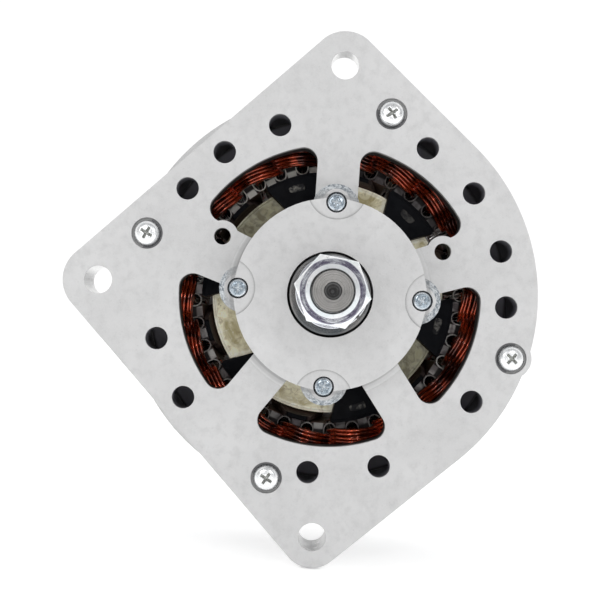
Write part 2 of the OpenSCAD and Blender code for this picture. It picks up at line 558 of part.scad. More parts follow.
module coil_bobbin() color([0.72, 0.68, 0.45]) difference() {
  union() {
    tube(26, 24.05, core_y0 + 0.1, core_y1 - 0.1);
    for (e = [[core_y0 + 0.1, gap_a], [core_y1 - 1.5, gap_a + 30]]) difference() {
      cyl(40.6, e[0], e[0] + 1.4);
      cyl(24.05, e[0] - 1, e[0] + 3);
    }
    for (e = [[core_y0 + 0.1, gap_a], [core_y1 - 1.5, gap_a + 30]], i = [0:fingers - 1])
      intersection() {
        rbox(e[1] + i * 60, 34, 47, 25, e[0] - (e[0] < rot_c ? petal_h : 0), e[0] + 1.4 + (e[0] < rot_c ? 0 : petal_h));
        cyl(44.1, e[0] - 12, e[0] + 14);
      }
  }
  for (a = [160, 340]) pcyl(27.4, a, 1.2, core_y1 - 3, core_y1 + 1);
}
module field_coil() color([0.55, 0.2, 0.1]) tube(40, 26.05, core_y0 + 1.6, core_y1 - 1.7);
module field_leads() color([0.5, 0.16, 0.08]) for (a = [160, 340]) {
  pcyl(26, a, 0.9, core_y1 + 0.1, 126.6);
  rbox(a, 12.2, 26, 1.6, 125.2, 126.8);
}
module slip_ring_insulator() color([0.16, 0.1, 0.06]) rev() polygon([[8.51, 125], [12, 125], [12, 127.9], [13.2, 127.9], [13.2, 128.4],
  [11, 128.4], [11, 134.6], [13.2, 134.6], [13.2, 136.9], [11, 136.9], [11, 143.1], [13.2, 143.1], [13.2, 144.5], [8.51, 144.5]]);
module slip_rings() color([0.72, 0.45, 0.25]) for (y = ring_y) tube(ring_r, 11.01, y - 3.05, y + 3.05);

drive_end_bracket();
bearing_retainer_plate();
retainer_screws();
through_bolts();
front_bearing_outer_ring();
front_bearing_seals();
stator_core();
slot_liners();
winding_phase_u();
winding_phase_v();
winding_phase_w();
phase_leads();
slip_ring_end_bracket();
rear_bearing_outer_ring();
rear_bearing_seals();
positive_heat_sink();
negative_heat_sink();
positive_diodes();
negative_diodes();
exciter_diode_board();
rectifier_screws();
brush_holder();
regulator_body();
regulator_screws();
output_stud();
output_stud_insulator();
output_stud_nuts();
exciter_terminal();
phase_terminal();
terminal_insulators();
terminal_nuts();
capacitor();
capacitor_screw();
rotor_shaft();
front_claw_pole();
rear_claw_pole();
pole_core();
field_coil();
coil_bobbin();
field_leads();
slip_rings();
slip_ring_insulator();
spacer_collar();
woodruff_key();
lock_washer();
pulley_nut();
front_bearing_inner_ring();
rear_bearing_inner_ring();
front_bearing_balls();
front_bearing_cage();
rear_bearing_balls();
rear_bearing_cage();
brush_inner();
brush_outer();
brush_spring_inner();
brush_spring_outer();
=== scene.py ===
import bpy, bmesh, math, random
from mathutils import Vector, Matrix


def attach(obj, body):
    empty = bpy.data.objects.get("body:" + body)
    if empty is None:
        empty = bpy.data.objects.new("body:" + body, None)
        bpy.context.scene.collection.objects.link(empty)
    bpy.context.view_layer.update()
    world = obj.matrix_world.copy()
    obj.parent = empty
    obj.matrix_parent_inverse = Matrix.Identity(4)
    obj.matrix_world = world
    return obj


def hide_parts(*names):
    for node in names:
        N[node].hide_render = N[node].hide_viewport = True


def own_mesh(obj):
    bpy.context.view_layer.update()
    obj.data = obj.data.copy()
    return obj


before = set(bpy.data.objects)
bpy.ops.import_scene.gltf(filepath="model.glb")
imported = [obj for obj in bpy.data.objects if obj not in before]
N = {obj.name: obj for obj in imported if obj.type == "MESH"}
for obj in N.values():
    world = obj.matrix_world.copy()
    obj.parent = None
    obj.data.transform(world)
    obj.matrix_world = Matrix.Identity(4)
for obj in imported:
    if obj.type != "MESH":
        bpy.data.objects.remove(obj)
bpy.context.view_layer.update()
MM = 0.001
RNG = random.Random(7)
SC = bpy.context.scene

# ------------------------------------------------------------------ camera
ROLL = math.radians(4.05)
cam_data = bpy.data.cameras.new("camera")
cam = bpy.data.objects.new("camera", cam_data)
SC.collection.objects.link(cam)
SC.camera = cam
cam_data.sensor_width = 36.0
cam_data.lens = 69.3
cam_data.shift_x = -0.00167
cam_data.shift_y = 0.0483
cam_data.clip_start, cam_data.clip_end = 0.01, 60.0
right = Vector((math.cos(ROLL), 0, math.sin(ROLL)))
up = Vector((-math.sin(ROLL), 0, math.cos(ROLL)))
back = right.cross(up)
m = Matrix((right, up, back)).transposed().to_4x4()
m.translation = Vector((-9.3, 50.6 - 420.0, -12.75)) * MM
cam.matrix_world = m

SC.view_settings.view_transform = "Standard"
SC.view_settings.look = "None"
SC.view_settings.exposure = 0.0
SC.view_settings.gamma = 1.0


# ------------------------------------------------------------------ small node helper
class Tree:
    def __init__(self, mat):
        self.t = mat.node_tree
        self.t.nodes.clear()
        self.x = 0

    def add(self, kind, **kw):
        n = self.t.nodes.new(kind)
        self.x += 180
        n.location = (self.x, 0)
        for k, v in kw.items():
            setattr(n, k, v)
        return n

    def link(self, a, b):
        self.t.links.new(a, b)

    def mix(self, fac, a, b, blend="MIX"):
        n = self.add("ShaderNodeMix", data_type="RGBA", blend_type=blend)
        n.clamp_factor = True
        for sock, v in ((n.inputs[0], fac), (n.inputs[6], a), (n.inputs[7], b)):
            if hasattr(v, "links"):
                self.link(v, sock)
            elif isinstance(v, (int, float)):
                sock.default_value = v
            else:
                sock.default_value = (*v, 1.0)
        return n.outputs[2]

    def math(self, op, a, b=0.5, c=None):
        n = self.add("ShaderNodeMath", operation=op)
        for i, v in enumerate((a, b, c)):
            if v is None:
                continue
            if hasattr(v, "links"):
                self.link(v, n.inputs[i])
            else:
                n.inputs[i].default_value = v
        return n.outputs[0]

    def remap(self, v, lo, hi, a, b):
        n = self.add("ShaderNodeMapRange")
        n.clamp = True
        self.link(v, n.inputs[0])
        for i, x in enumerate((lo, hi, a, b)):
            n.inputs[i + 1].default_value = x
        return n.outputs[0]

    def noise(self, coord, scale, detail=4.0, rough=0.55, dist=0.0):
        n = self.add("ShaderNodeTexNoise")
        n.inputs["Scale"].default_value = scale
        n.inputs["Detail"].default_value = detail
        n.inputs["Roughness"].default_value = rough
        n.inputs["Distortion"].default_value = dist
        if coord is not None:
            self.link(coord, n.inputs["Vector"])
        return n.outputs["Fac"]

    def voronoi(self, coord, scale, feature="F1"):
        n = self.add("ShaderNodeTexVoronoi", feature=feature)
        n.inputs["Scale"].default_value = scale
        self.link(coord, n.inputs["Vector"])
        return n.outputs["Distance"]

    def bump(self, height, strength, dist, normal=None):
        n = self.add("ShaderNodeBump")
        n.inputs["Strength"].default_value = strength
        n.inputs["Distance"].default_value = dist
        self.link(height, n.inputs["Height"])
        if normal is not None:
            self.link(normal, n.inputs["Normal"])
        return n.outputs["Normal"]


def material(name):
    mat = bpy.data.materials.new(name)
    mat.use_nodes = True
    t = Tree(mat)
    out = t.add("ShaderNodeOutputMaterial")
    bsdf = t.add("ShaderNodeBsdfPrincipled")
    t.link(bsdf.outputs[0], out.inputs[0])
    return mat, t, bsdf


def obj_coord(t, scale=(1, 1, 1)):
    tc = t.add("ShaderNodeTexCoord")
    mp = t.add("ShaderNodeMapping")
    mp.inputs["Scale"].default_value = scale
    t.link(tc.outputs["Object"], mp.inputs["Vector"])
    return mp.outputs["Vector"]


def cavity(t, dist=0.002, samples=8):
    ao = t.add("ShaderNodeAmbientOcclusion", samples=samples)
    ao.inputs["Distance"].default_value = dist
    return ao.outputs["AO"]


# radius from the shaft axis, for turned faces
def radial(t):
    tc = t.add("ShaderNodeTexCoord")
    sp = t.add("ShaderNodeSeparateXYZ")
    t.link(tc.outputs["Object"], sp.inputs[0])
    x2 = t.math("MULTIPLY", sp.outputs[0], sp.outputs[0])
    z2 = t.math("MULTIPLY", sp.outputs[2], sp.outputs[2])
    return t.math("SQRT", t.math("ADD", x2, z2)), sp


# darker towards the upper right and at the very bottom
def darker_upper_right_and_bottom(t, sp):
    a = t.math("MULTIPLY", t.remap(sp.outputs[2], 0.010, 0.022, 0.0, 1.0), t.remap(sp.outputs[0], -0.002, 0.008, 0.0, 1.0))
    return t.math("MAXIMUM", a, t.math("MULTIPLY", t.remap(sp.outputs[2], -0.045, -0.040, 1.0, 0.0), 0.7))


# lighter towards the upper left
def lighter_upper_left(t, sp):
    return t.math("MULTIPLY", t.remap(sp.outputs[2], 0.012, 0.024, 0.0, 1.0), t.remap(sp.outputs[0], 0.002, -0.008, 0.0, 1.0))


def mat_cast(name, base, rough=(0.42, 0.6), metal=0.0, grain=1.0, spec=0.5, bracket=False):
    """Cast aluminium with a fine blasted skin, soft stains and small pits, and painted shade in its creases."""
    mat, t, b = material(name)
    co = obj_coord(t)
    big = t.noise(co, 45, 4, 0.6, 0.5)
    mid = t.noise(co, 260, 5, 0.65)
    fine = t.noise(co, 1500, 3, 0.7)
    pits = t.voronoi(co, 420)
    dark = tuple(c * 0.93 for c in base)
    lite = tuple(min(1.0, c * 1.04) for c in base)
    c1 = t.mix(t.remap(big, 0.35, 0.68, 0.0, 1.0), dark, lite)
    c2 = t.mix(t.remap(mid, 0.46, 0.70, 0.0, 0.75), c1, tuple(c * 0.82 for c in base))
    c3 = t.mix(t.remap(fine, 0.35, 0.7, 0.0, 0.45), c2, lite)
    c4 = t.mix(t.remap(pits, 0.0, 0.14, 0.45, 0.0), c3, tuple(c * 0.7 for c in base))
    # painted shade: darker in creases and corners, from ambient occlusion
    ao = cavity(t, 0.0009, 6)
    c5 = t.mix(t.remap(ao, 0.35, 0.93, 0.75, 0.0), c4, tuple(c * 0.22 for c in base))
    rough_v = t.remap(t.math("ADD", t.math("MULTIPLY", mid, 0.6), t.math("MULTIPLY", fine, 0.4)), 0.3, 0.7, rough[0], rough[1])
    h = t.math("ADD", t.math("MULTIPLY", fine, 0.5), t.math("MULTIPLY", mid, 0.9))
    h = t.math("ADD", h, t.remap(pits, 0.0, 0.2, -0.5, 0.0))
    strength = 0.35 * grain
    if bracket:
        r, sp = radial(t)
        geo = t.add("ShaderNodeNewGeometry")
        gs = t.add("ShaderNodeSeparateXYZ")
        t.link(geo.outputs["Normal"], gs.inputs[0])
        ny = t.math("ABSOLUTE", gs.outputs[1])
        steep = t.remap(ny, 0.90, 0.97, 1.0, 0.0)
        # sloping flanks of the four pads, left as cast
        pad = t.math("MULTIPLY", t.math("GREATER_THAN", r, 0.0339), t.math("LESS_THAN", sp.outputs[1], 0.0405))
        pad = t.math("MULTIPLY", pad, steep)
        blot = t.noise(co, 900, 4, 0.75, 0.8)
        flank = t.mix(t.remap(blot, 0.45, 0.55, 0.0, 1.0), (0.62, 0.65, 0.67), (0.17, 0.20, 0.23))
        c5 = t.mix(pad, c5, flank)
        h = t.math("ADD", h, t.math("MULTIPLY", t.math("MULTIPLY", blot, pad), 6.0))
        # painted shade: walls of the windows and vents, and everything behind the plate, painted near black
        inside = t.math("MULTIPLY", t.math("LESS_THAN", r, 0.0703), t.remap(sp.outputs[1], 0.0507, 0.0545, 0.0, 1.0))
        bore = t.math("GREATER_THAN", r, 0.0325)
        hid = t.math("MULTIPLY", inside, bore)
        vent = t.math("MULTIPLY", inside, t.remap(r, 0.0585, 0.0600, 0.0, 1.0))
        c5 = t.mix(hid, c5, tuple(c * 0.05 for c in base))
        # painted shade: the vent walls a little lighter, a dark blue-grey
        c5 = t.mix(t.math("MULTIPLY", vent, t.remap(sp.outputs[1], 0.0560, 0.0600, 1.0, 0.8)), c5, (0.19, 0.19, 0.215))
        t.link(t.remap(hid, 0.0, 1.0, spec, 0.06), b.inputs["Specular IOR Level"])
        # sloping foot between hub and plate: painted shade, darker toward the left
        foot = t.math("MULTIPLY", t.remap(r, 0.0337, 0.0340, 0.0, 1.0), t.remap(r, 0.0365, 0.0375, 1.0, 0.0))
        foot = t.math("MULTIPLY", foot, t.remap(sp.outputs[1], 0.0505, 0.0495, 0.0, 1.0))
        c5 = t.mix(t.math("MULTIPLY", foot, t.remap(sp.outputs[0], -0.03, 0.03, 0.7, 0.2)), c5, tuple(c * 0.6 for c in base))
        # painted contact shadow along the hub's rim
        hub_rim_shadow = t.math("MULTIPLY", foot, t.remap(r, 0.0350, 0.0355, 0.45, 0.0))
        c5 = t.mix(hub_rim_shadow, c5, tuple(c * 0.3 for c in base))
        # lug bores: bright drilled walls with fine rings, their colour raised to near white as painted light
        near = None
        for u, v, ru in ((0, 0.0, 0.084), (-0.0842, 0.0, 0.0), (0, 0.0, -0.088)):
            dx = t.math("SUBTRACT", sp.outputs[0], float(u))
            dz = t.math("SUBTRACT", sp.outputs[2], float(ru))
            dd = t.math("ADD", t.math("MULTIPLY", dx, dx), t.math("MULTIPLY", dz, dz))
            near = dd if near is None else t.math("MINIMUM", near, dd)
        lug = t.remap(t.math("SQRT", near), 0.0054, 0.0055, 1.0, 0.0)
        lug = t.math("MULTIPLY", lug, t.remap(sp.outputs[1], 0.0510, 0.0513, 0.0, 1.0))
        ring = t.add("ShaderNodeTexNoise", noise_dimensions="1D")
        ring.inputs["Scale"].default_value = 2400
        t.link(sp.outputs[1], ring.inputs["W"])
        wall = t.mix(t.remap(ring.outputs["Fac"], 0.35, 0.65, 0.0, 1.0), (1.0, 1.0, 1.0), (0.80, 0.80, 0.79))
        # painted shade: the walls darker toward the bottom lug
        wall = t.mix(t.remap(sp.outputs[2], -0.088, 0.0, 0.6, 0.0), wall, (0.30, 0.30, 0.30))
        c5 = t.mix(lug, c5, wall)
        t.link(t.math("MULTIPLY", lug, 0.8), b.inputs["Metallic"])
        rough_v = t.math("SUBTRACT", rough_v, t.math("MULTIPLY", lug, 0.2))
    t.link(c5, b.inputs["Base Color"])
    if not bracket:
        b.inputs["Metallic"].default_value = metal
    if not bracket:
        b.inputs["Specular IOR Level"].default_value = spec
    t.link(rough_v, b.inputs["Roughness"])
    t.link(t.bump(h, strength, 0.00018), b.inputs["Normal"])
    return mat


def mat_metal(name, base, rough=(0.2, 0.34), metal=1.0, scale=900, stain=0.12, bump=0.12, turned=False, tint=None, spec=0.5, core=None, side=None, crease_shade=0.0, outer=None, deep=None):
    """Plated, ground or turned steel: small colour drift, fine scratches or lathe rings."""
    mat, t, b = material(name)
    co = obj_coord(t)
    big = t.noise(co, 60, 3, 0.6, 0.6)
    fine = t.noise(obj_coord(t, (1, 1, 1)), scale, 4, 0.6)
    other = tint or tuple(c * (1 - stain) for c in base)
    c1 = t.mix(t.remap(big, 0.35, 0.65, 0.0, 1.0), base, other)
    c2 = t.mix(t.remap(fine, 0.45, 0.75, 0.0, 0.35), c1, tuple(c * (1 - 2 * stain) for c in base))
    if core or outer:
        rc, spc = radial(t)
        if core:
            wave = t.math("SINE", t.math("MULTIPLY", rc, 2 * math.pi / 0.0011))
            coarse = t.add("ShaderNodeTexNoise", noise_dimensions="1D")
            coarse.inputs["Scale"].default_value = 2600
            coarse.inputs["Detail"].default_value = 4
            t.link(rc, coarse.inputs["W"])
            c2 = t.mix(t.remap(coarse.outputs["Fac"], 0.40, 0.62, 0.0, 0.55), c2, tuple(c * 0.55 for c in base))
            hole = t.mix(t.remap(wave, -0.8, 0.8, 0.0, 1.0), tuple(c * 0.35 for c in core[1]), core[1])
            pit = t.remap(rc, core[0], core[0] + 0.0002, 1.0, 0.0)
            c2 = t.mix(pit, c2, hole)
            c2 = t.mix(t.math("MULTIPLY", t.remap(rc, 0.00245, 0.0026, 0.0, 1.0), t.remap(rc, 0.0028, 0.0029, 1.0, 0.0)), c2, (0.02, 0.02, 0.02))
            gs = t.add("ShaderNodeSeparateXYZ")
            t.link(t.add("ShaderNodeNewGeometry").outputs["Normal"], gs.inputs[0])
            face = t.remap(t.math("ABSOLUTE", gs.outputs[1]), 0.4, 0.7, 0.0, 1.0)
            rim = t.remap(rc, 0.0065, 0.0066, 0.0, 1.0)
            c2 = t.mix(t.math("MULTIPLY", rim, face), c2, (0.05, 0.05, 0.05))
            # painted light: the stub's side next to the nut is near white, and the nut's countersink shows it bright by
            # reflection
            stub = t.math("MULTIPLY", t.remap(face, 0.0, 1.0, 1.0, 0.0), t.remap(spc.outputs[1], 0.0025, 0.0040, 1.0, 0.0))
            c2 = t.mix(t.math("MULTIPLY", rim, stub), c2, (0.9, 0.9, 0.91))
            t.link(t.remap(pit, 0.0, 1.0, 1.0, 0.15), b.inputs["Metallic"])
        if outer:
            # only the tips of the teeth, seen end on, are bare metal; the rest is varnish, its near black partly
            # painted shade
            geo = t.add("ShaderNodeNewGeometry")
            go = t.add("ShaderNodeSeparateXYZ")
            t.link(geo.outputs["Normal"], go.inputs[0])
            bare = t.math("MULTIPLY", t.remap(rc, outer[0], outer[0] + 0.0006, 1.0, 0.0), t.remap(t.math("ABSOLUTE", go.outputs[1]), 0.5, 0.8, 0.0, 1.0))
            pitch = t.math("MULTIPLY", t.math("ARCTAN2", spc.outputs[2], spc.outputs[0]), 18 / math.pi)
            bare = t.math("MULTIPLY", bare, t.remap(t.math("PINGPONG", pitch, 0.5), 0.19, 0.23, 1.0, 0.0))
            patch = t.noise(co, 130, 3, 0.6, 0.6)
            soiled = t.remap(patch, 0.44, 0.57, 0.0, 0.85)
            c2 = t.mix(t.math("MULTIPLY", soiled, t.remap(lighter_upper_left(t, spc), 0.0, 1.0, 1.0, 0.35)), c2, (0.15, 0.12, 0.12))
            c2 = t.mix(t.math("MULTIPLY", lighter_upper_left(t, spc), 0.6), c2, (0.90, 0.87, 0.80))
            c2 = t.mix(t.math("MULTIPLY", darker_upper_right_and_bottom(t, spc), 0.75), c2, (0.07, 0.06, 0.065))
            # painted light on the varnished core: lighter grey-blue behind the vents, grey further out and deeper,
            # brown in the bore, so these zones show through their shade
            under = t.mix(t.remap(rc, 0.0590, 0.0605, 0.0, 1.0), outer[1], (0.34, 0.335, 0.38))
            under = t.mix(t.math("MAXIMUM", t.remap(rc, 0.0680, 0.0688, 0.0, 1.0), t.remap(spc.outputs[1], 0.0788, 0.0794, 0.0, 1.0)), under, (0.125, 0.12, 0.13))
            under = t.mix(t.remap(rc, 0.0487, 0.0489, 1.0, 0.0), under, (0.12, 0.07, 0.065))
            c2 = t.mix(bare, under, c2)
    # painted shade: faces turned away from the front are darker
    if side:
        geo = t.add("ShaderNodeNewGeometry")
        gs = t.add("ShaderNodeSeparateXYZ")
        t.link(geo.outputs["Normal"], gs.inputs[0])
        c2 = t.mix(t.remap(t.math("ABSOLUTE", gs.outputs[1]), 0.45, 0.8, 1.0, 0.0), c2, side)
    # painted shade: darker in creases and recesses, from ambient occlusion
    if crease_shade:
        c2 = t.mix(t.remap(cavity(t, 0.0012, 6), 0.3, 0.9, crease_shade, 0.0), c2, tuple(c * 0.12 for c in base))
    # brown varnish deeper in the rotor, painted lighter than it is as painted light against the shade there, and
    # lighter again further back
    if deep:
        rd, spd = radial(t)
        sunk = t.remap(spd.outputs[1], deep[0], deep[0] + 0.0015, 0.0, 1.0)
        c2 = t.mix(sunk, c2, t.mix(t.remap(big, 0.4, 0.6, 0.0, 1.0), deep[1], tuple(c * 0.6 for c in deep[1])))
        c2 = t.mix(t.remap(spd.outputs[1], 0.0815, 0.0845, 0.0, 1.0), c2, (0.19, 0.135, 0.13))
    t.link(c2, b.inputs["Base Color"])
    if not core:
        b.inputs["Metallic"].default_value = metal
    b.inputs["Specular IOR Level"].default_value = spec
    if turned:
        r, sp = radial(t)
        w = t.add("ShaderNodeTexNoise", noise_dimensions="1D")
        w.inputs["Scale"].default_value = 9000
        w.inputs["Detail"].default_value = 3
        t.link(r, w.inputs["W"])
        wy = t.add("ShaderNodeTexNoise", noise_dimensions="1D")
        wy.inputs["Scale"].default_value = 7000
        wy.inputs["Detail"].default_value = 3
        t.link(sp.outputs[1], wy.inputs["W"])
        rings = t.math("ADD", t.math("MULTIPLY", w.outputs["Fac"], 0.5), t.math("MULTIPLY", wy.outputs["Fac"], 0.5))
        h = t.math("ADD", rings, t.math("MULTIPLY", fine, 0.3))
        t.link(t.remap(rings, 0.3, 0.7, rough[0], rough[1]), b.inputs["Roughness"])
    else:
        h = fine
        t.link(t.remap(fine, 0.3, 0.7, rough[0], rough[1]), b.inputs["Roughness"])
    t.link(t.bump(h, bump, 0.00008), b.inputs["Normal"])
    return mat


def mat_plastic(name, base, rough=(0.4, 0.6), grain=600, var=0.15, bump=0.2, trans=0.0, sss=0.0, coat=0.0, soak=None):
    mat, t, b = material(name)
    co = obj_coord(t)
    big = t.noise(co, 70, 4, 0.6, 0.5)
    fine = t.noise(co, grain, 4, 0.6)
    c1 = t.mix(t.remap(big, 0.35, 0.65, 0.0, 1.0), tuple(c * (1 - var) for c in base), tuple(min(1, c * (1 + var)) for c in base))
    if soak:
        c1 = t.mix(t.remap(t.noise(co, 110, 3, 0.6, 0.6), 0.44, 0.58, 0.0, 0.8), c1, soak)
        r, sp = radial(t)
        c1 = t.mix(t.math("MULTIPLY", lighter_upper_left(t, sp), 0.55), c1, (0.86, 0.82, 0.74))
        c1 = t.mix(t.math("MULTIPLY", darker_upper_right_and_bottom(t, sp), 0.75), c1, tuple(c * 0.5 for c in soak))
    t.link(c1, b.inputs["Base Color"])
    t.link(t.remap(fine, 0.3, 0.7, rough[0], rough[1]), b.inputs["Roughness"])
    b.inputs["Coat Weight"].default_value = coat
    b.inputs["Coat Roughness"].default_value = 0.15
    b.inputs["Transmission Weight"].default_value = trans
    b.inputs["Subsurface Weight"].default_value = sss
    b.inputs["Subsurface Radius"].default_value = (1.0, 0.8, 0.4)
    b.inputs["Subsurface Scale"].default_value = 0.002
    t.link(t.bump(fine, bump, 0.00006), b.inputs["Normal"])
    return mat


M = {}
M["cast"] = mat_cast("cast_aluminium", (0.655, 0.655, 0.655), (0.42, 0.62), 0.0, bracket=True)
M["cast_rear"] = mat_cast("cast_aluminium_rear", (0.60, 0.605, 0.61), (0.42, 0.62), 0.15)
M["cast_rough"] = mat_cast("cast_aluminium_rough", (0.60, 0.63, 0.66), (0.25, 0.5), 0.55, 3.0)
M["machined"] = mat_metal("machined_aluminium", (0.60, 0.61, 0.62), (0.28, 0.42), 0.85)
M["zinc"] = mat_metal("zinc_plate", (0.92, 0.935, 0.95), (0.07, 0.17), 1.0, 1200, 0.07, 0.12, tint=(0.84, 0.86, 0.92))
M["steel"] = mat_metal("turned_steel", (0.50, 0.49, 0.48), (0.22, 0.38), 1.0, 1500, 0.14, 0.3, turned=True)
M["shaft"] = mat_metal("shaft_steel", (0.36, 0.352, 0.34), (0.20, 0.42), 1.0, 1500, 0.25, 0.7, turned=True, core=(0.0027, (0.19, 0.19, 0.19)))
M["collar"] = mat_metal("collar_steel", (0.25, 0.24, 0.235), (0.20, 0.38), 1.0, 1500, 0.25, 0.5, turned=True, tint=(0.085, 0.10, 0.11), crease_shade=0.5)
M["bearing"] = mat_metal("bearing_steel", (0.60, 0.61, 0.62), (0.12, 0.2), 1.0, 1800, 0.06, 0.08)
M["black_steel"] = mat_metal("varnished_pole", (0.006, 0.006, 0.008), (0.35, 0.6), 0.0, 500, 0.3, 0.3, tint=(0.006, 0.007, 0.010), spec=0.06, deep=(0.0738, (0.112, 0.083, 0.078)))
M["lamination"] = mat_metal("stator_lamination", (0.88, 0.87, 0.82), (0.3, 0.5), 0.1, 700, 0.25, 0.4, tint=(0.55, 0.48, 0.50), outer=(0.0506, (0.020, 0.014, 0.014)), spec=0.3)
M["rubber"] = mat_plastic("seal_rubber", (0.02, 0.02, 0.02), (0.55, 0.75))
M["black_plastic"] = mat_plastic("black_plastic", (0.018, 0.018, 0.02), (0.38, 0.55), 900, 0.3)
M["brown_plastic"] = mat_plastic("brown_plastic", (0.10, 0.05, 0.03), (0.4, 0.55))
M["board"] = mat_plastic("circuit_board", (0.02, 0.035, 0.02), (0.35, 0.5), 400, 0.3, coat=0.3)
M["bobbin"] = "later"
M["paper"] = mat_plastic("slot_paper", (0.60, 0.58, 0.54), (0.3, 0.5), 500, 0.2, 0.3, coat=0.3, soak=(0.17, 0.13, 0.12))
M["carbon"] = mat_plastic("carbon", (0.03, 0.03, 0.03), (0.4, 0.6))
M["tin"] = mat_metal("tin_plate", (0.74, 0.69, 0.52), (0.2, 0.34), 1.0, 900, 0.1, 0.1)
M["ring_copper"] = mat_metal("slip_ring_copper", (0.72, 0.38, 0.2), (0.16, 0.28), 1.0, 900, 0.12, 0.2, turned=True)
M["spring"] = mat_metal("spring_wire", (0.5, 0.5, 0.52), (0.2, 0.3), 1.0)
M["bolt_zinc"] = mat_metal("bolt_zinc", (0.93, 0.935, 0.94), (0.10, 0.2), 1.0, 1100, 0.06, 0.15, side=(0.27, 0.28, 0.30), crease_shade=0.55)
M["zinc_blue"] = mat_metal("screw_zinc_blue", (0.68, 0.76, 0.80), (0.14, 0.26), 1.0, 1100, 0.1, 0.15, tint=(0.50, 0.60, 0.66), side=(0.30, 0.34, 0.36), crease_shade=0.55)
M["nut_zinc"] = "later"
M["punch"] = "later"
M["screw_head"] = "later"
M["bolt_head"] = "later"


def mat_enamel(name, base):
    """Enamelled wire: dark lacquer body with sharp, warm highlights."""
    mat, t, b = material(name)
    co = obj_coord(t)
    big = t.noise(co, 120, 4, 0.6, 0.8)
    fine = t.noise(co, 900, 3, 0.6)
    c1 = t.mix(t.remap(big, 0.43, 0.60, 0.0, 1.0), tuple(c * 0.15 for c in base), tuple(min(1, c * 1.15) for c in base))
    c2 = t.mix(t.remap(fine, 0.6, 0.85, 0.0, 0.3), c1, tuple(min(1, c * 1.5) for c in base))
    # painted shade: darker in the creases between strands, from ambient occlusion
    c3 = t.mix(t.remap(cavity(t, 0.0016, 6), 0.2, 0.9, 0.55, 0.0), c2, (0.03, 0.005, 0.003))
    t.link(c3, b.inputs["Base Color"])
    b.inputs["Metallic"].default_value = 0.72
    t.link(t.remap(fine, 0.3, 0.7, 0.13, 0.22), b.inputs["Roughness"])
    b.inputs["Coat Weight"].default_value = 1.0
    b.inputs["Coat Roughness"].default_value = 0.07
    t.link(t.bump(t.noise(co, 260, 2, 0.5), 0.06, 0.0001), b.inputs["Normal"])
    return mat


def mat_bobbin(name):
    """Amber moulding under brushed varnish: pale and olive patches, brown specks, glossy skin."""
    mat, t, b = material(name)
    co = obj_coord(t)
    big = t.noise(co, 70, 4, 0.62, 1.6)
    mid = t.noise(co, 300, 5, 0.65, 1.0)
    speck = t.voronoi(co, 300)
    c1 = t.mix(t.remap(big, 0.38, 0.62, 0.0, 1.0), (1.0, 0.95, 0.70), (0.47, 0.40, 0.19))
    c2 = t.mix(t.remap(mid, 0.52, 0.64, 0.0, 0.7), c1, (0.36, 0.28, 0.13))
    c3 = t.mix(t.remap(mid, 0.25, 0.42, 0.6, 0.0), c2, (1.0, 0.98, 0.88))
    c4 = t.mix(t.remap(speck, 0.0, 0.10, 0.8, 0.0), c3, (0.12, 0.06, 0.03))
    # pale lip and side edges of the petals: partly the moulding's pale edge, partly a painted highlight
    r, sp = radial(t)
    ang = t.math("MULTIPLY", t.math("ARCTAN2", sp.outputs[2], sp.outputs[0]), 180 / math.pi)
    ang = t.math("MULTIPLY", t.math("SUBTRACT", ang, 19.5), 1 / 60)
    u = t.math("MULTIPLY", r, t.math("SINE", t.math("MULTIPLY", t.math("PINGPONG", t.math("ADD", ang, 12.0), 0.5), math.pi / 3)))
    lip = t.math("MAXIMUM", t.remap(u, 0.0106, 0.0115, 0.0, 0.8), t.remap(r, 0.0422, 0.0430, 0.0, 0.85))
    c4 = t.mix(t.math("MULTIPLY", lip, t.remap(mid, 0.35, 0.5, 1.0, 0.55)), c4, (1.0, 0.97, 0.86))
    # painted shade: two opposite petals, upper left and lower right, painted dark olive
    shaded_petals = t.math("ADD", t.math("MULTIPLY", sp.outputs[0], -0.760), t.math("MULTIPLY", sp.outputs[2], 0.649))
    shaded_petals = t.remap(t.math("DIVIDE", t.math("ABSOLUTE", shaded_petals), r), 0.62, 0.92, 0.0, 0.85)
    c4 = t.mix(shaded_petals, c4, t.mix(t.remap(mid, 0.4, 0.6, 0.0, 1.0), (0.21, 0.20, 0.10), (0.08, 0.07, 0.03)))
    t.link(c4, b.inputs["Base Color"])
    # painted glow: the petals emit a little of their own colour as painted light
    t.link(c4, b.inputs["Emission Color"])
    b.inputs["Emission Strength"].default_value = 0.17
    t.link(t.remap(mid, 0.3, 0.7, 0.18, 0.5), b.inputs["Roughness"])
    b.inputs["Coat Weight"].default_value = 0.5
    b.inputs["Coat Roughness"].default_value = 0.12
    t.link(t.bump(t.math("ADD", mid, t.math("MULTIPLY", big, 1.5)), 0.5, 0.0003), b.inputs["Normal"])
    return mat


M["bobbin"] = mat_bobbin("bobbin")


def mat_punch(name):
    """Punched spot where the varnish has flaked: bare specks on black."""
    mat, t, b = material(name)
    co = obj_coord(t)
    n1 = t.noise(co, 460, 4, 0.6, 0.8)
    n2 = t.noise(co, 260, 2, 0.5)
    f = t.remap(t.math("ADD", t.math("MULTIPLY", n1, 0.6), t.math("MULTIPLY", n2, 0.4)), 0.46, 0.62, 0.0, 1.0)
    r, sp = radial(t)
    f = t.math("MULTIPLY", f, t.remap(darker_upper_right_and_bottom(t, sp), 0.0, 1.0, 1.0, 0.3))
    t.link(t.mix(f, (0.012, 0.012, 0.014), (0.27, 0.26, 0.235)), b.inputs["Base Color"])
    b.inputs["Metallic"].default_value = 0.3
    t.link(t.remap(n1, 0.3, 0.7, 0.35, 0.6), b.inputs["Roughness"])
    b.inputs["Specular IOR Level"].default_value = 0.2
    t.link(t.bump(n1, 0.8, 0.0003), b.inputs["Normal"])
    return mat


M["punch"] = mat_punch("punched_steel")


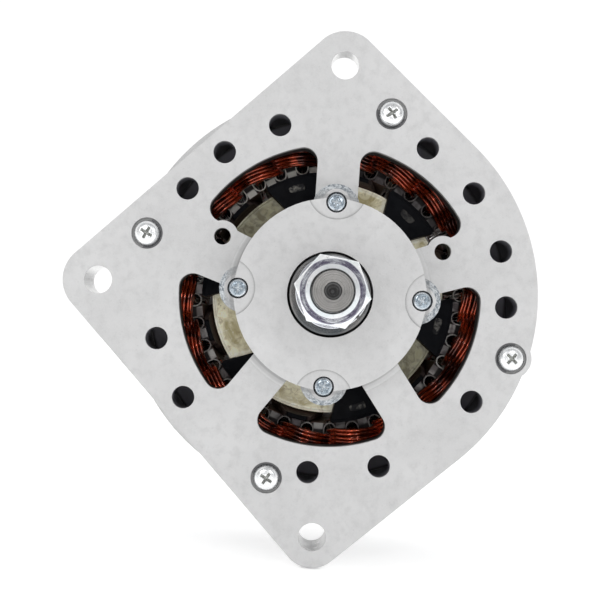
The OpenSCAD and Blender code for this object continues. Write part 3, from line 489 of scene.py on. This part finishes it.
def mat_screw(name, ring, top, turn, size, faces, rims, recess, root_shade):
    """Zinc on pan heads set on a circle: mottled face, pale rim, grey recess, and a dark ring of painted shade at the
    root.
    ring: radius of that circle, top: front of the heads, turn: angle of one of the four, size: recess, face, head
    radius in mm."""
    mat, t, b = material(name)
    co = obj_coord(t)
    r, sp = radial(t)
    ang = t.math("MULTIPLY", t.math("ARCTAN2", sp.outputs[2], sp.outputs[0]), 2 / math.pi)
    fold = t.math("MULTIPLY", t.math("PINGPONG", t.math("ADD", ang, 8.0 - turn / 90), 0.5), math.pi / 2)
    dd = t.math("ADD", t.math("MULTIPLY", r, r), ring * ring)
    dd = t.math("SUBTRACT", dd, t.math("MULTIPLY", t.math("MULTIPLY", r, 2 * ring), t.math("COSINE", fold)))
    d = t.math("SQRT", t.math("MAXIMUM", dd, 0.0))
    fine = t.noise(co, 1300, 4, 0.65, 0.5)
    big = t.noise(co, 330, 3, 0.5)
    face = t.mix(t.remap(fine, 0.44, 0.60, 0.0, 1.0), faces[0], faces[1])
    rim = t.mix(t.remap(big, 0.4, 0.6, 0.0, 1.0), rims[0], rims[1])
    c = t.mix(t.remap(d, size[1] * MM, (size[1] + 0.25) * MM, 0.0, 1.0), face, rim)
    sunk = t.math("MULTIPLY", t.remap(sp.outputs[1], top + 0.00035, top + 0.0006, 0.0, 1.0), t.remap(d, size[0] * MM, (size[0] + 0.1) * MM, 1.0, 0.0))
    c = t.mix(sunk, c, t.mix(t.remap(fine, 0.4, 0.6, 0.0, 1.0), recess[0], recess[1]))
    # painted shade: a dark ring at the root of each head
    c = t.mix(t.remap(d, (size[2] - 0.1) * MM, (size[2] - 0.05) * MM, 0.0, 1.0), c, root_shade)
    t.link(c, b.inputs["Base Color"])
    t.link(t.remap(sunk, 0.0, 1.0, 1.0, 0.15), b.inputs["Metallic"])
    t.link(t.remap(fine, 0.3, 0.7, 0.2, 0.36), b.inputs["Roughness"])
    t.link(t.bump(fine, 0.25, 0.00012), b.inputs["Normal"])
    return mat


M["screw_head"] = mat_screw("screw_head_zinc", 0.0324, 0.0348, 0, (2.3, 2.45, 3.44), ((0.42, 0.48, 0.53), (0.17, 0.21, 0.25)),
                            ((0.78, 0.82, 0.86), (0.52, 0.58, 0.63)), ((0.80, 0.84, 0.87), (0.55, 0.60, 0.64)), (0.10, 0.11, 0.12))
M["bolt_head"] = mat_screw("bolt_head_zinc", 0.070, 0.0483, 75, (2.7, 2.6, 4.8), ((0.95, 0.955, 0.96), (0.78, 0.80, 0.80)),
                           ((0.97, 0.975, 0.98), (0.84, 0.86, 0.87)), ((0.66, 0.67, 0.64), (0.40, 0.41, 0.39)), (0.16, 0.165, 0.17))


def mat_nut(name):
    """Bright zinc: white countersink and chamfers, a flat face streaked dark, and a thread root painted near black as
    painted shade.
    """
    mat, t, b = material(name)
    co = obj_coord(t)
    r, sp = radial(t)
    ang = t.math("ARCTAN2", sp.outputs[2], sp.outputs[0])
    cmb = t.add("ShaderNodeCombineXYZ")
    t.link(t.math("MULTIPLY", r, 900), cmb.inputs[0])
    t.link(t.math("MULTIPLY", ang, 1.6), cmb.inputs[1])
    streak = t.noise(cmb.outputs[0], 1.0, 5, 0.65, 0.6)
    fine = t.noise(co, 900, 4, 0.65)
    big = t.noise(co, 130, 3, 0.5)
    bright = t.mix(t.remap(big, 0.4, 0.6, 0.0, 1.0), (0.97, 0.97, 0.975), (0.84, 0.89, 0.90))
    flat = t.mix(t.remap(t.math("ADD", t.math("MULTIPLY", streak, 0.6), t.math("MULTIPLY", big, 0.45)), 0.44, 0.60, 0.0, 1.0), (0.90, 0.93, 0.96), (0.24, 0.22, 0.31))
    zone = t.math("MULTIPLY", t.remap(r, 0.0087, 0.0089, 0.0, 1.0), t.remap(r, 0.0105, 0.0108, 1.0, 0.0))
    zone = t.math("MULTIPLY", zone, t.remap(sp.outputs[1], 0.0003, 0.0006, 1.0, 0.0))
    c = t.mix(zone, bright, flat)
    c = t.mix(t.remap(fine, 0.56, 0.72, 0.0, 0.5), c, (0.50, 0.52, 0.56))
    # painted shade: the thread root inside the bore is near black
    c = t.mix(t.remap(r, 0.0072, 0.0075, 1.0, 0.0), c, (0.015, 0.015, 0.015))
    gs = t.add("ShaderNodeSeparateXYZ")
    t.link(t.add("ShaderNodeNewGeometry").outputs["Normal"], gs.inputs[0])
    flat_side = t.math("MULTIPLY", t.remap(t.math("ABSOLUTE", gs.outputs[1]), 0.10, 0.25, 1.0, 0.0), t.remap(r, 0.0100, 0.0104, 0.0, 1.0))
    c = t.mix(flat_side, c, t.mix(t.remap(fine, 0.4, 0.6, 0.0, 1.0), (0.62, 0.64, 0.67), (0.50, 0.52, 0.55)))
    t.link(c, b.inputs["Base Color"])
    b.inputs["Metallic"].default_value = 1.0
    t.link(t.remap(fine, 0.3, 0.7, 0.08, 0.22), b.inputs["Roughness"])
    t.link(t.bump(t.math("ADD", streak, t.math("MULTIPLY", fine, 0.5)), 0.22, 0.00012), b.inputs["Normal"])
    return mat


M["nut_zinc"] = mat_nut("nut_zinc")
M["enamel"] = mat_enamel("enamelled_copper", (0.56, 0.074, 0.021))

# ------------------------------------------------------------------ CAD nodes: material and softened edges
LOOK = {
    "drive_end_bracket": ("cast", 0.45), "slip_ring_end_bracket": ("cast_rear", 0.45),
    "bearing_retainer_plate": ("steel", 0.3), "retainer_screws": ("zinc", 0.12), "through_bolts": ("zinc", 0.15),
    "front_bearing_outer_ring": ("bearing", 0.3), "front_bearing_seals": ("rubber", 0.1),
    "rear_bearing_outer_ring": ("bearing", 0.3), "rear_bearing_seals": ("rubber", 0.1),
    "front_bearing_inner_ring": ("bearing", 0.3), "rear_bearing_inner_ring": ("bearing", 0.3),
    "front_bearing_balls": ("bearing", 0), "rear_bearing_balls": ("bearing", 0),
    "front_bearing_cage": ("brown_plastic", 0), "rear_bearing_cage": ("brown_plastic", 0),
    "stator_core": ("lamination", 0.15), "slot_liners": ("paper", 0),
    "winding_phase_u": ("enamel", 0.8), "winding_phase_v": ("enamel", 0.8), "winding_phase_w": ("enamel", 0.8),
    "phase_leads": ("enamel", 0), "positive_heat_sink": ("machined", 0.2), "negative_heat_sink": ("machined", 0.2),
    "positive_diodes": ("tin", 0.2), "negative_diodes": ("tin", 0.2), "exciter_diode_board": ("board", 0.15),
    "rectifier_screws": ("zinc", 0.1), "brush_holder": ("black_plastic", 0.35), "regulator_body": ("machined", 0.3),
    "regulator_screws": ("zinc", 0.12), "output_stud": ("tin", 0.15), "output_stud_insulator": ("black_plastic", 0.4),
    "output_stud_nuts": ("tin", 0.25), "exciter_terminal": ("tin", 0.1), "phase_terminal": ("tin", 0.1),
    "terminal_insulators": ("black_plastic", 0.3), "terminal_nuts": ("tin", 0.2), "capacitor": ("machined", 0.4),
    "capacitor_screw": ("zinc", 0.12), "rotor_shaft": ("shaft", 0.15), "front_claw_pole": ("black_steel", 0.5),
    "rear_claw_pole": ("black_steel", 0.5), "pole_core": ("black_steel", 0), "field_coil": ("enamel", 0.5),
    "coil_bobbin": ("bobbin", 0.3), "field_leads": ("enamel", 0), "slip_rings": ("ring_copper", 0.15),
    "slip_ring_insulator": ("brown_plastic", 0.2), "spacer_collar": ("collar", 0.25), "woodruff_key": ("steel", 0.1),
    "lock_washer": ("zinc", 0.2), "pulley_nut": ("nut_zinc", 0.13), "brush_inner": ("carbon", 0.1), "brush_outer": ("carbon", 0.1),
    "brush_spring_inner": ("spring", 0), "brush_spring_outer": ("spring", 0),
}


def soften(o, width):
    w = o.modifiers.new("weld", "WELD")
    w.merge_threshold = 2e-6
    if width:
        b = o.modifiers.new("bevel", "BEVEL")
        b.width = width * MM
        b.segments = 2
        b.limit_method = "ANGLE"
        b.angle_limit = math.radians(32)
        b.use_clamp_overlap = True
        b.miter_outer = "MITER_ARC"
        b.harden_normals = False
    n = o.modifiers.new("normals", "WEIGHTED_NORMAL")
    n.keep_sharp = True


for name, o in N.items():
    look, width = LOOK.get(name, ("steel", 0))
    o.data.materials.clear()
    o.data.materials.append(M[look])
    soften(o, width)

# ------------------------------------------------------------------ mesh helpers (mm in, metres out)
def px(r, a):
    return r * math.cos(math.radians(a))


def pz(r, a):
    return r * math.sin(math.radians(a))


def smooth(t):
    t = max(0.0, min(1.0, t))
    return t * t * (3 - 2 * t)


def make(name, verts, faces, mat, body, replaces=(), auto=None, mats=None):
    me = bpy.data.meshes.new(name)
    me.from_pydata([(x * MM, y * MM, z * MM) for x, y, z in verts], [], faces)
    me.validate()
    me.update()
    o = bpy.data.objects.new(name, me)
    SC.collection.objects.link(o)
    for mm in (mats or [mat]):
        me.materials.append(M[mm])
    for p in me.polygons:
        p.use_smooth = True
    if auto:
        me.set_sharp_from_angle(angle=math.radians(auto))
    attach(o, body)
    if replaces:
        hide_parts(*replaces)
    return o


def resample(pts, step):
    """Catmull-Rom through the points, at about the given step."""
    out = []
    n = len(pts)
    for i in range(n - 1):
        p0, p1, p2, p3 = pts[max(i - 1, 0)], pts[i], pts[i + 1], pts[min(i + 2, n - 1)]
        k = max(1, int((p2 - p1).length / step))
        for j in range(k):
            t = j / k
            out.append(0.5 * ((2 * p1) + (p2 - p0) * t + (2 * p0 - 5 * p1 + 4 * p2 - p3) * t * t + (3 * p1 - p0 - 3 * p2 + p3) * t ** 3))
    out.append(pts[-1])
    return out


def tube(verts, faces, pts, r, n=8):
    """Adds a round tube along the points."""
    base = len(verts)
    tans = [(pts[min(i + 1, len(pts) - 1)] - pts[max(i - 1, 0)]).normalized() for i in range(len(pts))]
    nrm = tans[0].orthogonal().normalized()
    for p, tg in zip(pts, tans):
        nrm = (nrm - tg * nrm.dot(tg)).normalized()
        bi = tg.cross(nrm)
        for k in range(n):
            a = 2 * math.pi * k / n
            v = p + (nrm * math.cos(a) + bi * math.sin(a)) * r
            verts.append((v.x, v.y, v.z))
    for i in range(len(pts) - 1):
        for k in range(n):
            a, b = base + i * n + k, base + i * n + (k + 1) % n
            faces.append((a, a + n, b + n, b))
    faces.append(tuple(base + k for k in range(n)))
    faces.append(tuple(base + (len(pts) - 1) * n + k for k in reversed(range(n))))


def lathe(verts, faces, prof, cx=0.0, cz=0.0, n=64):
    """Adds a closed turned body about a Y axis; prof is (radius, y), first and last at radius 0 or joined."""
    base = len(verts)
    rings = []
    for r, y in prof:
        if r < 1e-6:
            rings.append([len(verts)])
            verts.append((cx, y, cz))
        else:
            rings.append(list(range(len(verts), len(verts) + n)))
            for k in range(n):
                a = 2 * math.pi * k / n
                verts.append((cx + r * math.cos(a), y, cz + r * math.sin(a)))
    for A, B in zip(rings, rings[1:]):
        for k in range(n):
            a0, a1 = A[k % len(A)], A[(k + 1) % len(A)]
            b0, b1 = B[k % len(B)], B[(k + 1) % len(B)]
            f = [a0]
            for v in (a1, b1, b0):
                if v not in f:
                    f.append(v)
            if len(f) > 2:
                faces.append(tuple(f))
    return base


def thread(verts, faces, r, depth, pitch, y0, y1, cx=0.0, cz=0.0, n=28, per=6):
    """Adds a threaded rod: a grid whose radius follows a helix, with flat ends."""
    rows = int((y1 - y0) / pitch * per)
    base = len(verts)
    for i in range(rows + 1):
        y = y0 + (y1 - y0) * i / rows
        end = min(1.0, (y1 - y) / (pitch * 1.2) + 0.25, (y - y0) / (pitch * 1.2) + 0.25)
        for k in range(n):
            a = 2 * math.pi * k / n
            ph = (y / pitch - k / n) % 1.0
            tri = abs(ph - 0.5) * 2
            rr = r - depth * (1 - min(1.0, max(0.0, (tri - 0.08) / 0.84)))
            rr = r - depth + (rr - (r - depth)) * end
            verts.append((cx + rr * math.cos(a), y, cz + rr * math.sin(a)))
    for i in range(rows):
        for k in range(n):
            a, b = base + i * n + k, base + i * n + (k + 1) % n
            faces.append((a, b, b + n, a + n))
    faces.append(tuple(base + k for k in reversed(range(n))))
    faces.append(tuple(base + rows * n + k for k in range(n)))


def baked(o):
    """The object's mesh with its modifiers applied; the modifiers are removed."""
    dg = bpy.context.evaluated_depsgraph_get()
    dg.update()
    me = bpy.data.meshes.new_from_object(o.evaluated_get(dg))
    o.modifiers.clear()
    o.data = me
    return me


# ------------------------------------------------------------------ stator windings as separate strands
WIRE = 0.69
ROWS, PITCH = 5, 1.42


def end_turn(b, i, j, side):
    """One strand of bundle b: row i outward, layer j; side 0 in front, 1 behind."""
    rng = random.Random(b * 31 + i * 7 + j * 3 + side * 101)
    a0 = 15 + 20 * b
    a1 = a0 + 30
    if side:
        a0, a1 = a0 + 30, a0 + 60
    dirn = -1 if side == 0 else 1
    face = 78.6 if side == 0 else 116.6
    r0 = 51.35 + PITCH * i
    tj = (0.85 if j else -0.85) / r0 * 57.3
    mid = 97.6
    pts = [(a0 + tj, r0, mid), (a0 + tj, r0, face - dirn * 6), (a0 + tj, r0, face + dirn * 0.2),
           (a0 + tj * 0.9 + 0.3, r0 - 0.3, face + dirn * 4.6)]
    wob = rng.uniform(-0.3, 0.3)
    wo2 = rng.uniform(-0.3, 0.3)
    steps = 9
    for s in range(steps):
        t = 0.10 + 0.78 * s / (steps - 1)
        drift = -0.95 + 2.9 * min(1.0, t / 0.68) - 1.5 * smooth((t - 0.72) / 0.18)
        lift = 9.5 - 1.9 * smooth((0.30 - t) / 0.22) - 4.4 * smooth((t - 0.40) / 0.30) - 1.45 * j
        rr = r0 + drift + wob * math.sin(t * 4.2)
        pts.append((a0 + 30 * t, rr, face + dirn * (lift + wo2 * math.cos(t * 4))))
    pts += [(a1 - tj * 0.9 - 1.1, r0 + 0.6, face + dirn * (2.9 - 0.5 * j)), (a1 - tj, r0 + 0.2, face + dirn * 1.2), (a1 - tj, r0, face - dirn * 6), (a1 - tj, r0, mid)]
    return [Vector((px(r, a), y, pz(r, a))) for a, r, y in pts]


for k, ph in enumerate("uvw"):
    vs, fs = [], []
    for b in range(18):
        if b % 3 != k:
            continue
        for side in (0, 1):
            for i in range(ROWS):
                for j in (0, 1):
                    tube(vs, fs, resample(end_turn(b, i, j, side), 1.7), WIRE, 8)
    make("winding_strands_" + ph, vs, fs, "enamel", "housing", ["winding_phase_" + ph])

# ------------------------------------------------------------------ slot liner cuffs
vs, fs = [], []


def cuff(a, y0, y1, ra, bulge, t=0.15, half=2.02):
    pts = [(59.8, half), (56.5, half), (54.0, half)]
    n = 10
    for q in range(n + 1):
        th = math.pi * q / n
        pts.append((ra - bulge * math.sin(th), half * math.cos(th)))
    pts += [(54.0, -half), (56.5, -half), (59.8, -half)]
    base = len(vs)
    m = len(pts)
    for idx, (r, w) in enumerate(pts):
        p, q = pts[max(idx - 1, 0)], pts[min(idx + 1, m - 1)]
        d = Vector((q[0] - p[0], q[1] - p[1])).normalized()
        nx, ny = d.y * t, -d.x * t
        for s in (1, -1):
            rr, ww = r + nx * s, w + ny * s
            ca, sa = math.cos(math.radians(a)), math.sin(math.radians(a))
            for y in (y0, y1):
                vs.append((rr * ca - ww * sa, y, rr * sa + ww * ca))
    for idx in range(m - 1):
        A, B = base + idx * 4, base + idx * 4 + 4
        fs.append((A, A + 1, B + 1, B))
        fs.append((A + 2, B + 2, B + 3, A + 3))
        fs.append((A, B, B + 2, A + 2))
        fs.append((A + 1, A + 3, B + 3, B + 1))
    for e in (base, base + (m - 1) * 4):
        fs.append((e, e + 2, e + 3, e + 1))


for i in range(36):
    a = 5 + 10 * i
    rng = random.Random(i)
    w = rng.uniform(-0.25, 0.25)
    cuff(a + w, 76.2 + rng.uniform(-0.2, 0.3), 78.58, 51.3, 0.7 if a in (25, 155) else 2.85 + rng.uniform(-0.3, 0.05), half=2.4, t=0.19)
    cuff(a, 78.58, 116.62, 52.6, 0.4)
    cuff(a, 116.62, 118.4, 51.2, 1.9)
make("slot_liner_film", vs, fs, "paper", "housing", ["slot_liners"], auto=50)


# ------------------------------------------------------------------ cross-recess screws
def screw_mesh(prof, shank, arm, width, depth, top, n=64):
    """A turned head and shank about Y with a tapered cross recess, as a bpy mesh."""
    v, f = [], []
    lathe(v, f, prof + shank, n=n)
    me = bpy.data.meshes.new("tmp")
    me.from_pydata([(x * MM, y * MM, z * MM) for x, y, z in v], [], f)
    o = bpy.data.objects.new("tmp", me)
    SC.collection.objects.link(o)
    bm = bmesh.new()
    bm.from_mesh(me)
    bmesh.ops.recalc_face_normals(bm, faces=bm.faces)
    bm.to_mesh(me)
    bm.free()
    cv, cf = [], []
    for rot in (0, 90):
        b = len(cv)
        for y, L, W in ((top - 1.0, arm * 1.12, width * 0.62), (top + depth * 0.55, arm * 0.86, width * 0.46), (top + depth, arm * 0.40, width * 0.28)):
            for sx, sz in ((-1, -1), (1, -1), (1, 1), (-1, 1)):
                x, z = sx * L, sz * W
                if rot:
                    x, z = -z, x
                cv.append((x * MM, y * MM, z * MM))
        cf += [(b, b + 1, b + 2, b + 3), (b + 11, b + 10, b + 9, b + 8)]
        for lv in (0, 4):
            for k in range(4):
                q = (k + 1) % 4
                cf.append((b + lv + k, b + lv + 4 + k, b + lv + 4 + q, b + lv + q))
    cutters = []
    for part in range(2):
        cm = bpy.data.meshes.new("cut")
        cm.from_pydata(cv[part * 12:part * 12 + 12], [], [tuple(i - part * 12 for i in q) for q in cf[part * 10:part * 10 + 10]])
        bm = bmesh.new()
        bm.from_mesh(cm)
        bmesh.ops.recalc_face_normals(bm, faces=bm.faces)
        bm.to_mesh(cm)
        bm.free()
        co = bpy.data.objects.new("cut", cm)
        SC.collection.objects.link(co)
        cutters.append(co)
        md = o.modifiers.new("cut%d" % part, "BOOLEAN")
        md.operation = "DIFFERENCE"
        md.solver = "EXACT"
        md.object = co
    out = baked(o)
    for c in cutters:
        bpy.data.objects.remove(c)
    bpy.data.objects.remove(o)
    bm = bmesh.new()
    bm.from_mesh(out)
    bmesh.ops.remove_doubles(bm, verts=bm.verts, dist=2e-6)
    vv = [(x.co.x / MM, x.co.y / MM, x.co.z / MM) for x in bm.verts]
    bm.verts.index_update()
    ff = [tuple(w.index for w in q.verts) for q in bm.faces]
    bm.free()
    return vv, ff


def placed(name, src, spots, mat, body, replaces, bevel=0.1, auto=32):
    """Joins turned copies of a screw mesh: spots are (x, y, z, turn in degrees about Y)."""
    vs, fs = [], []
    sv, sf = src
    for x, y, z, t in spots:
        c, s = math.cos(math.radians(t)), math.sin(math.radians(t))
        b = len(vs)
        vs += [(x + vx * c + vz * s, y + vy, z - vx * s + vz * c) for vx, vy, vz in sv]
        fs += [tuple(i + b for i in q) for q in sf]
    o = make(name, vs, fs, mat, body, replaces)
    bv = o.modifiers.new("bevel", "BEVEL")
    bv.width = bevel * MM
    bv.segments = 2
    bv.limit_method = "ANGLE"
    bv.angle_limit = math.radians(auto)
    wn = o.modifiers.new("normals", "WEIGHTED_NORMAL")
    wn.keep_sharp = True
    return o


BOLT_A = [75, 165, 255, 345]
RET_A = [0, 90, 180, 270]
bolt_src = screw_mesh([(0, -3.8), (1.6, -3.78), (2.8, -3.66), (3.6, -3.42), (3.95, -3.2), (4.25, -2.75), (4.6, -1.7), (4.78, -0.8), (4.8, 0.0)],
                      [(2.48, 0.0), (2.48, 87.2), (1.9, 88.0), (0, 88.0)], 2.35, 0.95, 2.2, -3.8)
placed("through_bolts_pan_head", bolt_src, [(px(70, a), 52.1, pz(70, a), t) for a, t in zip(BOLT_A, [52, 28, 30, 40])],
       "bolt_head", "housing", ["through_bolts"], 0.12)
ret_src = screw_mesh([(0, -2.7), (1.6, -2.68), (2.4, -2.6), (2.9, -2.42), (3.2, -2.08), (3.38, -1.5), (3.44, -0.8), (3.44, 0.0)],
                     [(1.98, 0.0), (1.98, 24.9), (1.5, 25.5), (0, 25.5)], 1.95, 0.8, 1.0, -2.7, n=56)
placed("retainer_screws_pan_head", ret_src, [(px(32.4, a), 37.5, pz(32.4, a), t) for a, t in zip(RET_A, [30, 12, 4, 20])],
       "screw_head", "housing", ["retainer_screws"], 0.08)
rec_src = screw_mesh([(0, -2.2), (1.6, -2.15), (2.8, -1.8), (3.4, -1.1), (3.6, -0.3), (3.6, 0.0)],
                     [(1.72, 0.0), (1.72, 9.0), (1.3, 9.5), (0, 9.5)], 1.8, 0.75, 1.4, -2.2, n=40)
placed("rectifier_screws_pan_head", rec_src, [(px(57, a), 132, pz(57, a), a) for a in (20, 160, 232, 308)],
       "zinc", "housing", ["rectifier_screws"], 0.08)

# ------------------------------------------------------------------ bobbin petal lips
vs, fs = [], []
for g in range(6):
    ac = 19.5 + 60 * g
    half = math.degrees(math.asin(12.4 / 43.95)) * 0.985
    n = 22
    sec = [(43.95, 0.05), (43.95, -0.22), (43.6, -0.35), (43.2, -0.22), (43.1, 0.05)]
    base = len(vs)
    for q in range(n + 1):
        a = ac - half + 2 * half * q / n
        for r, dy in sec:
            rr = r if abs(q - n / 2) < n / 2 - 0.5 else r - 0.15
            vs.append((px(rr, a), 74.6 + dy, pz(rr, a)))
    m = len(sec)
    for q in range(n):
        for s in range(m):
            a, b = base + q * m + s, base + q * m + (s + 1) % m
            fs.append((a, b, b + m, a + m))
    fs.append(tuple(base + s for s in reversed(range(m))))
    fs.append(tuple(base + n * m + s for s in range(m)))
make("bobbin_petal_lips", vs, fs, "bobbin", "rotor", (), auto=60)

# punch marks on the claws: shallow oval dimples with a raised burr
vs, fs = [], []
for g in range(6):
    ac = 49.5 + 60 * g
    rc = 43.2
    rng = random.Random(50 + g)
    base = len(vs)
    rings = [(0.0, -0.01), (0.45, -0.02), (0.75, -0.05), (0.92, -0.13), (1.0, -0.06), (1.06, 0.02)]
    n = 30
    for f, dy in rings:
        for q in range(n):
            th = 2 * math.pi * q / n
            w = 1 + 0.06 * math.sin(3 * th + g) + rng.uniform(-0.03, 0.03)
            ct, st = math.cos(th), math.sin(th)
            dt = 3.0 * f * w * math.copysign(abs(ct) ** 0.55, ct)
            dr = 1.35 * f * w * math.copysign(abs(st) ** 0.55, st)
            a = ac + math.degrees(dt / rc)
            vs.append((px(rc + dr, a), 71.0 + dy, pz(rc + dr, a)))
    for s in range(len(rings) - 1):
        for q in range(n):
            a, b = base + s * n + q, base + s * n + (q + 1) % n
            fs.append((a, b, b + n, a + n))
make("claw_punch_marks", vs, fs, "punch", "rotor", (), auto=80)


# ------------------------------------------------------------------ threaded studs
def stud(name, node, x, z, body_prof, r, depth, pitch, y0, y1, tail, n=28):
    vs, fs = [], []
    lathe(vs, fs, body_prof, x, z, 40)
    thread(vs, fs, r, depth, pitch, y0, y1, x, z, n)
    lathe(vs, fs, tail, x, z, 32)
    return make(name, vs, fs, "tin", "housing", [node], auto=35)


sx, sz = px(38, 215), pz(38, 215)
stud("output_stud_threaded", "output_stud", sx, sz, [(0, 130.5), (6.4, 130.5), (6.4, 132.0), (3.98, 132.0), (3.98, 150.0), (0, 150.0)],
     3.95, 0.62, 1.25, 150.0, 177.2, [(0, 177.2), (3.4, 177.2), (3.1, 177.9), (2.4, 178.0), (0, 178.0)])
for nm, node, ang in (("exciter_stud_threaded", "exciter_terminal", 325), ("phase_stud_threaded", "phase_terminal", 245)):
    x, z = px(38, ang), pz(38, ang)
    stud(nm, node, x, z, [(0, 138.2), (4.0, 138.2), (4.0, 139.5), (2.48, 139.5), (2.48, 151.0), (0, 151.0)],
         2.45, 0.4, 0.8, 151.0, 164.0, [(0, 164.0), (2.1, 164.0), (1.8, 164.4), (0, 164.5)], n=22)

# ------------------------------------------------------------------ brush springs as wound wire
for nm, node, jn, y in (("inner_spring_coil", "brush_spring_inner", "inner_brush_slide", 131.5), ("outer_spring_coil", "brush_spring_outer", "outer_brush_slide", 140.0)):
    vs, fs = [], []
    turns = 9
    path = []
    for q in range(turns * 18 + 1):
        t = q / (turns * 18)
        th = 2 * math.pi * turns * t
        path.append(Vector((1.82 * math.cos(th), y + 1.82 * math.sin(th), 30.75 + 11.0 * t)))
    tube(vs, fs, path, 0.24, 7)
    o = make(nm, vs, fs, "spring", "housing", [node])
    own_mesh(o)

# ------------------------------------------------------------------ stage and light
def plane(name, pts, mat):
    me = bpy.data.meshes.new(name)
    me.from_pydata(pts, [], [tuple(range(len(pts)))])
    o = bpy.data.objects.new(name, me)
    SC.collection.objects.link(o)
    me.materials.append(mat)
    return o


fm, t, b = material("floor_paper")
co = obj_coord(t)
t.link(t.mix(t.remap(t.noise(co, 3, 2), 0.3, 0.7, 0, 1), (0.93, 0.93, 0.93), (0.96, 0.96, 0.96)), b.inputs["Base Color"])
b.inputs["Roughness"].default_value = 0.9
b.inputs["Emission Color"].default_value = (1, 1, 1, 1)
b.inputs["Emission Strength"].default_value = 0.35
plane("floor", [(-4, -4, -0.0995), (4, -4, -0.0995), (4, 4, -0.0995), (-4, 4, -0.0995)], fm)

world = bpy.data.worlds.new("studio")
SC.world = world
world.use_nodes = True
wt = Tree(world)
wo = wt.add("ShaderNodeOutputWorld")
bg = wt.add("ShaderNodeBackground")
tc = wt.add("ShaderNodeTexCoord")
dot = wt.add("ShaderNodeVectorMath", operation="DOT_PRODUCT")
wt.link(tc.outputs["Generated"], dot.inputs[0])
dot.inputs[1].default_value = (0, -1, 0)
front = wt.remap(dot.outputs["Value"], 0.93, 0.99, 1.0, 0.0)
half = wt.remap(dot.outputs["Value"], 0.30, 0.80, 1.0, 0.0)
behind = wt.remap(dot.outputs["Value"], -0.35, 0.0, 1.0, 0.0)
sheet = wt.mix(behind, (0.975, 0.975, 0.975), (1.06, 1.06, 1.06))
sky = wt.mix(half, (0.42, 0.42, 0.425), sheet)
sky = wt.mix(front, (0.30, 0.30, 0.315), sky)
# the white sheet is what is seen past the part from any side
seen = wt.add("ShaderNodeLightPath")
wt.link(wt.mix(seen.outputs["Is Camera Ray"], sky, (1.06, 1.06, 1.06)), bg.inputs[0])
bg.inputs[1].default_value = 1.0
wt.link(bg.outputs[0], wo.inputs[0])


def area(name, loc, target, size, power, color=(1, 1, 1)):
    l = bpy.data.lights.new(name, "AREA")
    l.energy = power
    l.shape = "RECTANGLE"
    l.size, l.size_y = size
    l.color = color
    o = bpy.data.objects.new(name, l)
    SC.collection.objects.link(o)
    o.location = loc
    o.rotation_mode = "QUATERNION"
    o.rotation_quaternion = (Vector(target) - Vector(loc)).to_track_quat("-Z", "Y")
    return o


area("softbox_upper_left", (-0.34, -1.12, 0.30), (0, 0.05, 0), (0.16, 0.16), 1.15)
area("softbox_upper_right", (0.30, -1.12, 0.34), (0, 0.05, 0), (0.16, 0.16), 1.0)
area("softbox_low", (-0.05, -1.15, -0.20), (0, 0.05, 0), (0.5, 0.04), 0.35)
